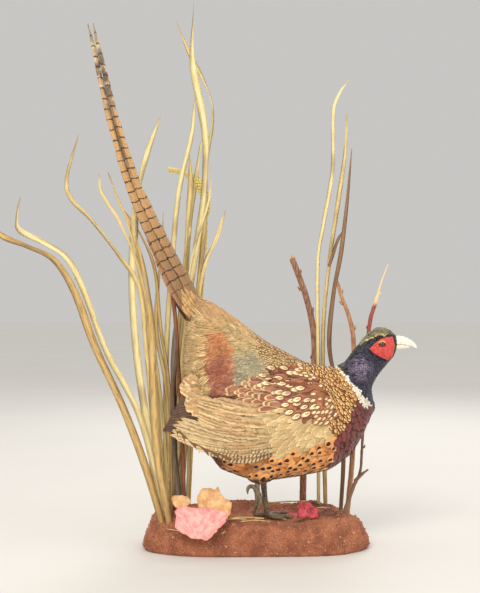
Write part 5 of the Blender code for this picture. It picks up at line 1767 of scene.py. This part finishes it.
# For each blade: its width, the turn of its face in degrees, its colour and the places it passes, foot first.
BLADES = {
    "grass_left_1": (10, 10, "tan", (
        (-141, -44, 50), (-166, -45, 136), (-200, -44, 225), (-241, -41, 313), (-272, -40, 395),
        (-304, -36, 444), (-345, -34, 465), (-385, -34, 482), (-398, -34, 505),
    )),
    "grass_left_2": (8, -8, "cream", (
        (-137, -34, 48), (-172, -34, 200), (-226, -33, 308), (-260, -33, 400), (-284, -33, 446),
        (-318, -33, 470), (-356, -33, 489), (-361, -33, 508), (-356, -33, 541),
    )),
    "grass_left_3": (6, 12, "straw", (
        (-134, -16, 50), (-152, -17, 165), (-165, -17, 300), (-176, -16, 400), (-208, -15, 452),
        (-250, -15, 506), (-282, -15, 540), (-288, -15, 572), (-270, -15, 638),
    )),
    "grass_left_4": (11, -6, "cream", (
        (-141, -26, 52), (-159, -26, 165), (-178, -22, 285), (-188, -8, 390), (-188, 12, 480),
        (-184, 27, 545), (-170, 30, 610), (-147, 30, 676),
    )),
    "grass_left_5": (10, 15, "tan", (
        (-129, -50, 50), (-145, -50, 140), (-153, -46, 240), (-155, -38, 330), (-163, -33, 405),
        (-181, -30, 482),
    )),
    "grass_left_6": (4, 0, "straw", (
        (-132, 4, 50), (-142, 4, 200), (-159, 2, 330), (-179, -4, 432), (-207, -6, 502), (-235, -6, 548),
        (-240, -6, 580),
    )),
    "grass_left_7": (4, 10, "tan", (
        (-127, -6, 50), (-131, -6, 240), (-145, 0, 340), (-155, 12, 430), (-176, 24, 482), (-203, 26, 523),
    )),
    "grass_left_8": (5, -12, "straw", (
        (-133, 14, 50), (-136, 14, 230), (-152, 14, 330), (-151, 18, 400), (-144, 26, 470), (-143, 28, 524),
    )),
    "grass_left_9": (7, 8, "cream", (
        (-138, 22, 50), (-139, 22, 200), (-137, 24, 320), (-129, 34, 450), (-119, 40, 555), (-99, 42, 645),
        (-94, 42, 706),
    )),
    "grass_tall_1": (11, -10, "cream", (
        (-124, 70, 50), (-120, 70, 200), (-112, 68, 340), (-92, 62, 470), (-80, 60, 560), (-78, 58, 650),
        (-93, 56, 735), (-99, 55, 780), (-96, 55, 862),
    )),
    "grass_tall_2": (7, 10, "straw", (
        (-116, 77, 50), (-108, 77, 200), (-94, 75, 350), (-81, 70, 490), (-77, 67, 600), (-67, 65, 660),
        (-67, 65, 700), (-82, 64, 740), (-104, 64, 782), (-125, 64, 834),
    )),
    "grass_tall_3": (6, -14, "straw", (
        (-106, 66, 50), (-100, 66, 230), (-88, 58, 380), (-78, 48, 440), (-60, 44, 480), (-45, 44, 527),
    )),
    "grass_tall_4": (5, 16, "olive", (
        (-132, 62, 50), (-126, 62, 250), (-114, 58, 420), (-105, 50, 478), (-101, 48, 504),
    )),
    "grass_tall_5": (7, 5, "straw", (
        (-131, 78, 50), (-124, 78, 230), (-114, 74, 400), (-105, 66, 520), (-102, 64, 580), (-103, 64, 618),
    )),
    "grass_tall_6": (6, -5, "cream", (
        (-122, 84, 50), (-116, 84, 300), (-106, 80, 480), (-96, 76, 560), (-88, 74, 620), (-82, 74, 645),
    )),
    "grass_dark": (9, 20, "grey", (
        (-113, -12, 50), (-120, -13, 120), (-124, -13, 200), (-124, -14, 280), (-122, -16, 350),
    )),
    "grass_red": (5, 0, "red", (
        (-108, 12, 50), (-113, 14, 180), (-119, 16, 290), (-124, 18, 360), (-132, 22, 420), (-141, 26, 462),
    )),
    "grass_right_1": (5, 8, "cream", (
        (104, 70, 50), (105, 69, 180), (104, 67, 300), (103, 62, 440), (112, 58, 505), (126, 54, 590),
        (127, 52, 680), (136, 52, 712), (153, 52, 737),
    )),
    "grass_right_2": (6, -8, "straw", (
        (116, 80, 50), (114, 80, 180), (113, 78, 330), (122, 72, 440), (136, 66, 540), (147, 62, 620),
        (150, 62, 684),
    )),
    "grass_right_3": (6, 12, "brown", (
        (140, 70, 50), (145, 70, 140), (134, 68, 240), (122, 66, 310), (128, 62, 390), (140, 56, 460),
        (150, 54, 545), (157, 54, 626),
    )),
    "grass_right_4": (4, 0, "brown", (
        (122, 71, 438), (129, 73, 458), (135, 73, 477), (146, 71, 500),
    )),
}
# Blades too thin to be solids: the same, with no node of their own.
FINE_BLADES = {
    "grass_fine_1": (3, 20, "cream", ((-128, 30, 50), (-122, 32, 250), (-100, 40, 440), (-72, 46, 540),
                                      (-69, 46, 602))),
    "grass_fine_2": (4, 0, "grey", ((-118, 60, 50), (-128, 50, 120), (-120, 40, 180))),
    "grass_fine_3": (3, 10, "straw", ((-138, 40, 50), (-160, 40, 300), (-190, 36, 480), (-214, 34, 540),
                                      (-231, 34, 586))),
    "grass_fine_4": (3, -10, "straw", ((-146, 10, 50), (-158, 10, 260), (-178, 8, 420), (-196, 6, 500),
                                       (-204, 6, 521))),
    "grass_fine_5": (3, 30, "red", ((-124, 0, 50), (-120, 2, 110), (-110, 6, 166))),
}
BLADE_COLOURS = {
    "cream": (paint(255, 240, 180), paint(234, 206, 142)),
    "straw": (paint(250, 228, 160), paint(214, 178, 116)),
    "olive": (paint(238, 220, 146), paint(198, 168, 104)),
    "tan": (paint(226, 190, 120), paint(182, 138, 82)),
    "brown": (paint(168, 128, 90), paint(124, 90, 64)),
    "red": (paint(196, 122, 90), paint(150, 88, 66)),
    "grey": (paint(136, 118, 100), paint(94, 78, 68)),
}
BLADE_FOOT, BLADE_WIDEST, BLADE_TAPER, BLADE_TIP = 0.8, 0.12, 9.0, 0.5
BLADE_TWIST = 150
# Blades whose feet stand lower than EARTH_TOP go into the earth by BLADE_SUNK, and lean inward.
EARTH_TOP, BLADE_SUNK, BLADE_INWARD = 60, 12, 0.17


def blade_finish(name):
    """Dry grass: long veins, darker feet, blotches and a browned tip."""
    stuff, graph, join = material(f"grass_{name}", 0.55, Sheen_Weight=0.1)
    light, dark = BLADE_COLOURS[name]
    across, along, run = graph.attribute("across"), graph.attribute("along"), graph.attribute("run")
    vein = graph.math("SINE", graph.times(across, 26.0))
    tone = graph.times(graph.attribute("tone"), 9.0)
    place = graph.node("ShaderNodeCombineXYZ", graph.times(across, 1.2), graph.times(run, 0.02), tone)
    stain = graph.noise(2.2, 4.0, place.outputs[0])
    colour = graph.mix(graph.between(stain, 0.42, 0.7), light, dark)
    long_place = graph.node("ShaderNodeCombineXYZ", 0.0, graph.times(run, 0.008), tone)
    long_stain = graph.noise(1.0, 2.0, long_place.outputs[0])
    colour = graph.mix(graph.between(long_stain, 0.56, 0.7, 0.0, 0.6), colour, paint(162, 124, 86))
    colour = graph.mix(graph.between(vein, 0.2, 1.0, 0.0, 0.35), colour, dark)
    colour = graph.mix(graph.between(along, 0.92, 1.0, 0.0, 0.5), colour, paint(150, 104, 64))
    colour = graph.mix(graph.between(run, 0.0, 70.0, 0.3, 0.0), colour, paint(150, 108, 62))
    join(colour)
    bump(graph, join, vein, 0.5, 0.25)
    return stuff


def make_blades():
    finishes = {name: blade_finish(name) for name in BLADE_COLOURS}
    by_colour = {}
    for k, (name, (width, turn, colour, points)) in enumerate({**BLADES, **FINE_BLADES}.items()):
        points = np.array(points, float)
        if points[0][2] < EARTH_TOP:
            lean = np.array((0, -BLADE_INWARD * points[0][1], 0))
            points[0] += lean - unit(points[1] - points[0]) * BLADE_SUNK
        rows = 14 * (len(points) - 1) + 1
        shares = np.linspace(0, 1, rows)
        path = along_rows(points, shares)
        ahead = unit(np.gradient(path, axis=0))
        across = unit(np.cross(ahead, (0, 1, 0)))
        sides = []
        for way, side, t in zip(ahead, across, shares):
            twist = turn + BLADE_TWIST * noise.noise(Vector((t * 3.4, k * 3.7, 1.5))) * t
            sides.append(Matrix.Rotation(math.radians(twist), 3, Vector(way)) @ Vector(side))
        sides = np.array(sides)
        half = width / 2 * 1.1 * (BLADE_FOOT + (1 - BLADE_FOOT) * np.minimum(shares / BLADE_WIDEST, 1)) * (
            1 - shares**BLADE_TAPER) + BLADE_TIP
        above = unit(np.cross(ahead, sides))
        fold = 0.28 + 0.1 * math.sin(k)
        made = strip(path, sides, above, half, half, thick=0.25, ridge=-0.25, camber=-fold,
                     tone=(k * 0.37) % 1, seed=k)
        by_colour.setdefault(colour, []).append((name, made))
    for colour, made in by_colour.items():
        piece = strips_object(f"grasses_{colour}", [vane for _, vane in made], finishes[colour])
        wear(piece, "grass", *(name for name, _ in made if name in BLADES))


# ------------------------------------------------------------------ twigs, seed head and straws


def make_bar_tree():
    """Round bars along a net of edges, with their thickness from it, and knots and ridges by noise."""
    tree, graph, inputs, output = geometry_tree("bars", [
        ("Around", "Int", 12), ("Step", "Float", 0.003), ("Knots", "Float", 0.0005), ("Grain", "Float", 90.0),
        ("Finish", "Material", None)])
    curve = graph.node("GeometryNodeMeshToCurve", inputs["Geometry"])
    even = graph.node("GeometryNodeResampleCurve", curve.outputs[0])
    even.mode = "LENGTH"
    graph.put(inputs["Step"], even.inputs["Length"])
    wide = graph.node("GeometryNodeSetCurveRadius", even.outputs[0], named={"Radius": graph.named("thick")})
    ring = graph.node("GeometryNodeCurvePrimitiveCircle", inputs["Around"], named={"Radius": 1.0})
    bars = graph.node("GeometryNodeCurveToMesh", wide.outputs[0], ring.outputs[0])
    graph.put(True, bars.inputs["Fill Caps"])
    if "Scale" in bars.inputs:
        graph.put(graph.named("thick"), bars.inputs["Scale"])
    here = graph.node("GeometryNodeInputPosition").outputs[0]
    grain = graph.node("ShaderNodeTexNoise", named={"Vector": here, "Scale": inputs["Grain"], "Detail": 4.0})
    push = graph.times(graph.minus(grain.outputs[0], 0.5), inputs["Knots"])
    facing = graph.node("GeometryNodeInputNormal").outputs[0]
    shaped = graph.node("GeometryNodeSetPosition", bars.outputs[0],
                        named={"Offset": graph.scaled(facing, push)})
    smooth = graph.node("GeometryNodeSetShadeSmooth", shaped.outputs[0])
    graph.hand_over(smooth.outputs[0], inputs, output)
    return tree


def bars(name, routes, tree, finish, around=12, step=3.0, knots=0.5, grain=90.0):
    """Bars along smooth routes, each a list of points and of radii in millimetres."""
    points, edges, thick = [], [], []
    for route, radii in routes:
        rows = 10 * (len(route) - 1) + 1
        shares = np.linspace(0, 1, rows)
        first = len(points)
        points += along_rows(route, shares).tolist()
        thick += np.interp(shares, np.linspace(0, 1, len(radii)), radii).tolist()
        edges += [(first + k, first + k + 1) for k in range(rows - 1)]
    mesh = bpy.data.meshes.new(name + "_line")
    mesh.from_pydata((np.array(points) * MM).tolist(), edges, [])
    store(mesh, "thick", np.array(thick) * MM)
    source = add_object(name + "_line", mesh)
    made = run_tree(name, source, tree, {"Around": around, "Step": step * MM, "Knots": knots * MM,
                                         "Grain": grain, "Finish": finish})
    bpy.data.objects.remove(source)
    return made


def bark_finish(name, light, dark, lining, pale_top=None, grey_foot=None):
    stuff, graph, join = material(name, 0.75)
    streak = graph.noise(520.0, 4.0, graph.place((1.0, 1.0, 0.14)))
    marks = graph.group(SPECKLE, Scale=700.0, Share=0.33)
    colour = graph.mix(graph.between(streak, 0.35, 0.68), light, dark)
    colour = graph.mix(marks["Mask"], colour, lining)
    if pale_top:
        height = graph.axis(2)
        colour = graph.mix(graph.between(height, grey_foot[0] - 0.02, grey_foot[0], 0.85, 0.0), colour,
                           grey_foot[1])
        colour = graph.mix(graph.between(height, pale_top[0], pale_top[0] + 0.01), colour, pale_top[1])
    join(colour)
    bump(graph, join, streak, 0.7, 0.6)
    return stuff


# For each twig: its radii, then the places that it passes, foot first.
TWIGS = {
    "twig_broken": ((5.6, 5.3, 5.1, 4.8), (
        (79, 68, 40), (82, 79, 120), (92, 80, 225), (99, 80, 290), (97, 80, 336), (88, 74, 378),
        (76, 68, 414), (62, 64, 450))),
    "twig_budded": ((4.2, 4, 3.4, 2.4), (
        (149, 51, 39), (158, 55, 130), (162, 54, 240), (160, 53, 310), (157, 52, 338), (150, 52, 364),
        (139, 50, 392), (135, 50, 409))),
    "twig_forked": ((3.2, 3.0, 2.2, 2.2, 2.8, 3.4, 3.0, 1.3, 0.8), (
        (141, 34, 42), (158, 36, 88), (169, 40, 112), (173, 45, 160), (179, 46, 245), (184, 46, 340),
        (194, 44, 380), (202, 42, 410), (213, 40, 440))),
}
FORK = ((3, 2.4, 1.4), ((160, 37, 96), (171, 33, 108), (180, 29, 116)))
SEED_HEAD = ((-104, 74, 40), (-98, 90, 170), (-88, 90, 330), (-77, 88, 470), (-77, 84, 540), (-90, 82, 574),
             (-114, 84, 590), (-138, 84, 596))
SEEDS, SPLINTERS = 190, 9
STRAWS = {
    "straw_long": (1.2, (22, 34, 62), (83, 30, 66)),
    "straw_near": (1.3, (-38, -30, 52), (14, -40, 53)),
    "straw_short": (1.1, (-42, -46, 53), (-12, -53, 54.5)),
}
# Straws too small to be solids: the places that each passes, and its radii.
LOOSE_STRAWS = [(((-20, -60, 53), (2, -56, 54), (22, -60, 53)), (0.8, 0.8, 0.5)),
                (((92, 10, 58), (104, 4, 61), (118, 8, 60)), (0.9, 0.8, 0.5))]
# Pale bits caught on the front of the earth: where each runs in the side view, and its radii.
FRONT_CHIPS = ((((-132, 38.5), (-119, 38), (-106, 37)), (0.6, 1.0, 0.7)),
               (((-50, 35), (-46.5, 37.5), (-43, 40)), (0.8, 1.6, 0.7)))
# Buds: the twig's share that each grows at, its turn round the twig in degrees and its length.
BUDS = {
    "twig_broken": ((0.42, 20, 7), (0.66, 200, 8), (0.8, 10, 9), (0.9, 170, 7)),
    "twig_budded": ((0.55, 200, 8), (0.78, 20, 8), (0.86, 190, 7), (0.99, 90, 6)),
    "twig_forked": ((0.35, 160, 6), (0.62, 20, 5), (0.8, 200, 5)),
}


def round_stem(route, share, turn):
    """A place on a stem at a share of its route, the way it runs there and a way out, turned round it."""
    way = unit(along_rows(route, min(share + 0.02, 1)) - along_rows(route, share - 0.02))
    side = unit(np.cross(way, (0, 1, 0)))
    out = np.array(Matrix.Rotation(turn, 3, Vector(way)) @ Vector(side))
    return along_rows(route, share), way, out


def buds_on(route, radii, buds):
    """Short pointed buds on a twig, as routes of their own."""
    made = []
    for share, turn, length in buds:
        place, way, out = round_stem(route, share, math.radians(turn))
        radius = np.interp(share, np.linspace(0, 1, len(radii)), radii)
        start = place + out * radius * 0.5
        made.append(((start, start + out * length * 0.4 + way * length * 0.25,
                      start + out * length * 0.6 + way * length), (1.6, 2.1, 1.7, 0.4)))
    return made


def make_twigs(tree):
    """The three bare twigs with their buds, and the splinters where one broke."""
    barks = {
        "twig_broken": bark_finish("bark_grey_brown", paint(170, 126, 98), paint(116, 80, 62),
                                   paint(206, 166, 132)),
        "twig_budded": bark_finish("bark_orange_brown", paint(204, 154, 112), paint(150, 100, 70),
                                   paint(230, 186, 144)),
        "twig_forked": bark_finish("bark_red", paint(176, 96, 80), paint(132, 64, 56), paint(206, 146, 120),
                                   (0.372, paint(240, 214, 164)), (0.328, paint(138, 112, 92))),
    }
    for name, (radii, route) in TWIGS.items():
        routes = [(route, radii), *buds_on(np.array(route, float), radii, BUDS[name])]
        if name == "twig_forked":
            routes.append((FORK[1], FORK[0]))
        made = bars(f"{name}_bark", routes, tree, barks[name], knots=1.6, grain=120.0)
        wear(made, "twig", name)
    wood, graph, join = material("broken_wood", 0.7)
    join(graph.mottled(900.0, 0.4, 0.6, paint(222, 184, 132), paint(182, 136, 92)))
    bump(graph, join, graph.noise(1500.0), 0.6, 0.4)
    splinters = []
    draw = np.random.default_rng(3)
    end, before = np.array(TWIGS["twig_broken"][1][-1], float), np.array(TWIGS["twig_broken"][1][-2], float)
    way = unit(end - before)
    for _ in range(SPLINTERS):
        out = draw.normal(0, 2.1, 3)
        splinters.append(((end - way * 4 + out, end + out + way * draw.uniform(-1, 2),
                           end + out * 1.1 + way * 3), (1.3, 1.1, 0.3)))
    wear(bars("twig_break", splinters, tree, wood, around=6, knots=0.3), "twig")


def make_straws(tree):
    """Loose straws on the earth, and pale bits caught on its front."""
    dry, graph, join = material("dry_straw", 0.55)
    streak = graph.noise(900.0, 3.0, graph.place((0.1, 1.0, 1.0)))
    join(graph.mix(graph.between(streak, 0.35, 0.65), paint(232, 204, 142), paint(176, 140, 88)))
    bump(graph, join, streak, 0.5, 0.3)
    routes = []
    for radius, start, finish in STRAWS.values():
        middle = (np.array(start) + finish) / 2 + (0, 1.5, 0.8)
        routes.append(((start, middle, finish), (radius, radius, radius * 0.8)))
    routes += LOOSE_STRAWS
    earth = BVHTree.FromObject(bpy.data.objects["earth"], bpy.context.evaluated_depsgraph_get())
    for line, radii in FRONT_CHIPS:
        fronts = [earth.ray_cast(Vector((x, -200, z)) * MM, Vector((0, 1, 0)))[0] / MM for x, z in line]
        routes.append(([tuple(place + Vector((0, -0.4, 0))) for place in fronts], radii))
    wear(bars("straws", routes, tree, dry, around=8, knots=0.4), "straw", *STRAWS)


def make_seed_head(tree):
    """The bent stalk, with grains set round its end in a spiral."""
    stalk, graph, join = material("seed_straw", 0.6)
    join(graph.mottled(500.0, 0.35, 0.65, paint(244, 228, 150), paint(206, 184, 112)))
    bump(graph, join, graph.noise(1100.0), 0.4, 0.3)
    routes = [(SEED_HEAD, (1.5, 1.3, 1.2, 1.2, 1.2, 1.2, 1.4, 1.2, 0.8))]
    for k in range(SEEDS):
        share = 0.52 + 0.475 * k / SEEDS
        place, way, out = round_stem(SEED_HEAD, share, k * 2.4)
        fat = np.interp(share, (0.52, 0.56, 0.72, 0.8, 1), (0.8, 1.6, 1.6, 0.85, 0.75))
        start = place + out * 0.5
        routes.append(((start, start + out * 3.4 * fat + way * 2.0, start + out * 4.2 * fat + way * 5.0),
                       (0.6, 1.7 * fat, 1.3 * fat, 0.2)))
    wear(bars("seed_head_grains", routes, tree, stalk, around=6, step=1.1, knots=0.4), "straw", "seed_head")


# ------------------------------------------------------------------ leaves

# For each leaf: the finish, the middle, half the length and width, the turn, pitch and roll in degrees, the
# place in shares of those halves from which the veins run, and the outline: how far the blade reaches at each
# angle round it.
LEAVES = {
    "leaf_pink": ("leaf_pink", (-80, -71, 54), 41, 28.5, 3, 54, 0, (-0.12, -0.8), (
        (2, 0.9), (14, 1.02), (28, 1.08), (44, 0.93), (61, 0.96), (84, 0.8), (109, 0.84), (128, 1.14),
        (148, 1.08), (164, 0.93), (178, 0.92), (193, 0.97), (207, 0.94), (230, 0.85), (250, 0.9),
        (272, 0.86), (284, 1.0), (300, 0.86), (323, 0.75), (342, 0.82))),
    "leaf_orange": ("leaf_orange", (-62, -39, 78), 32, 27, -6, 52, 8, (-0.1, -0.9), (
        (0, 0.78), (19, 0.62), (40, 0.58), (62, 0.62), (76, 0.86), (82, 1.07), (88, 0.8), (100, 0.82),
        (113, 0.94), (129, 0.92), (156, 0.78), (184, 0.8), (226, 0.83), (265, 0.9), (295, 1.0), (316, 1.08),
        (332, 0.94), (349, 0.88))),
    "leaf_tan": ("leaf_orange", (-111, -38, 78), 16, 14, 4, 44, -6, (0.9, -0.2), (
        (25, 0.83), (48, 0.9), (71, 0.96), (92, 0.9), (114, 1.0), (143, 1.14), (178, 0.82), (214, 0.83),
        (240, 0.9), (263, 1.04), (304, 0.83), (347, 1.0))),
    "leaf_red": ("leaf_red", (82, -26, 64), 20, 17, -6, 42, 6, (-0.2, -0.5), (
        (0, 0.7), (28, 0.5), (57, 0.58), (76, 0.78), (95, 1.0), (108, 0.74), (133, 1.06), (150, 0.72),
        (168, 0.92), (196, 0.7), (230, 1.2), (245, 0.94), (267, 0.76), (290, 0.9), (313, 1.25), (330, 0.8),
        (347, 0.86))),
    "leaf_dark": ("leaf_red", (58, -38, 58), 9, 6, 20, 30, 10, (0, 0), (
        (0, 1.0), (40, 0.7), (80, 0.9), (130, 0.7), (180, 0.95), (240, 0.7), (300, 0.8))),
}
LEAF_COLOURS = {
    "leaf_pink": (paint(252, 188, 176), paint(238, 150, 144), paint(255, 228, 212)),
    "leaf_orange": (paint(244, 200, 140), paint(222, 158, 104), paint(250, 222, 176)),
    "leaf_red": (paint(204, 66, 80), paint(142, 36, 48), paint(236, 128, 124)),
}
LEAF_CURL, LEAF_FOLD, LEAF_CURL_TURN = 0.1, 0.3, 0.5
LEAF_AROUND, LEAF_RINGS, LEAF_WALL = 168, 34, 0.35


def leaf_finish(name):
    stuff, graph, join = material(f"{name}_blade", 0.6, Sheen_Weight=0.15, Subsurface_Weight=0.05,
                                  Subsurface_Scale=0.002)
    light, dark, vein = LEAF_COLOURS[name]
    colour = graph.mix(graph.between(graph.noise(110.0, 4.0), 0.36, 0.64), light, dark)
    colour = graph.mix(graph.between(graph.noise(620.0, 3.0), 0.55, 0.75, 0.0, 0.6), colour, vein)
    colour = graph.mix(graph.between(graph.attribute("rim"), 0.86, 1.0, 0.0, 0.6), colour, dark)
    join(graph.mix(graph.times(graph.attribute("vein"), 0.6), colour, vein))
    relief = graph.plus(graph.attribute("vein"), graph.times(graph.noise(700.0, 4.0), 0.9))
    bump(graph, join, relief, 0.7, 0.6)
    return stuff


def from_line(place, start, end):
    """How far a place lies from a straight line between two others, in its plane."""
    along, away = np.subtract(end, start), np.subtract(place, start)
    return math.dist(away, along * np.clip(away @ along / (along @ along), 0, 1))


def leaf_points(number, length, width, hub, outline):
    """The crinkled blade of a leaf laid flat, in rings round its middle, with each place's rim and vein."""
    corners = np.radians([angle for angle, _ in outline] + [360])
    reaches = [reach for _, reach in outline] + [outline[0][1]]
    hub = np.array(hub) * (length, width)
    tips = [(length * reach * math.cos(angle), width * reach * math.sin(angle))
            for angle, reach in zip(corners[:-1], reaches) if reach > 0.93]
    points, rims, veins = [], [], []
    for ring in range(LEAF_RINGS + 1):
        share = ring / LEAF_RINGS
        for k in range(LEAF_AROUND if ring else 1):
            angle = 2 * math.pi * k / LEAF_AROUND
            teeth = 0.05 * noise.noise(Vector((angle * 5, number, 2.5))) * share**4
            reach = share * (1 - (1 - float(np.interp(angle, corners, reaches))) * share**0.6 - teeth)
            x, y = length * reach * math.cos(angle), width * reach * math.sin(angle)
            crease = noise.fractal(Vector((x, y, number * 9)) * 0.07, 0.9, 2.1, 4)
            fine = noise.fractal(Vector((x, y, number * 5)) * 0.35, 0.9, 2.1, 3)
            away = min(from_line((x, y), hub, tip) for tip in tips)
            curl = LEAF_CURL * math.cos(2 * angle + LEAF_CURL_TURN)
            z = length * share * share * curl + (crease * 3.0 + fine * 0.6) * (0.3 + 0.7 * share)
            z += LEAF_FOLD * min(away, 0.28 * width)
            line = math.exp(-((away / 0.45) ** 2)) * (1 - share**4)
            points.append((x, y, z + line * 0.4))
            rims.append(share)
            veins.append(line)
    return points, rims, veins


def ring_faces(rings, around):
    """Faces of a disc made of rings round a middle point."""
    faces = [(0, 1 + k, 1 + (k + 1) % around) for k in range(around)]
    for ring in range(rings - 1):
        low, high = 1 + ring * around, 1 + (ring + 1) * around
        faces += [(low + k, high + k, high + (k + 1) % around, low + (k + 1) % around) for k in range(around)]
    return faces


def make_leaves():
    finishes = {name: leaf_finish(name) for name in LEAF_COLOURS}
    faces = ring_faces(LEAF_RINGS, LEAF_AROUND)
    for number, (name, row) in enumerate(LEAVES.items()):
        colour, middle, length, width, turn, pitch, roll, hub, outline = row
        points, rims, veins = leaf_points(number, length, width, hub, outline)
        lean = Matrix.Rotation(math.radians(turn), 3, "Z") @ Matrix.Rotation(math.radians(pitch), 3, "X")
        lean = np.array(lean @ Matrix.Rotation(math.radians(roll), 3, "Y"))
        laid = (np.array(points) @ lean.T + middle) * MM
        leaf = add_object(f"{name}_crinkled", mesh_from(name, laid, faces))
        store(leaf.data, "rim", rims)
        store(leaf.data, "vein", veins)
        wall = leaf.modifiers.new("wall", "SOLIDIFY")
        wall.thickness = LEAF_WALL * MM
        wall.offset = 0
        settle(leaf)
        leaf.data.materials.append(finishes[colour])
        wear(leaf, colour, name)


# ------------------------------------------------------------------ all of it

set_stage()
skin = make_skin()
grow_coat(skin)
wear(skin, "mantle", *FLESH)
make_tail()
make_tail_coverts()
make_under_tail()
make_wings()
make_wattles(make_papillae_tree())
make_eyes()
make_bill()
make_legs()
make_ground()
make_blades()
bar_tree = make_bar_tree()
make_twigs(bar_tree)
make_straws(bar_tree)
make_seed_head(bar_tree)
make_leaves()
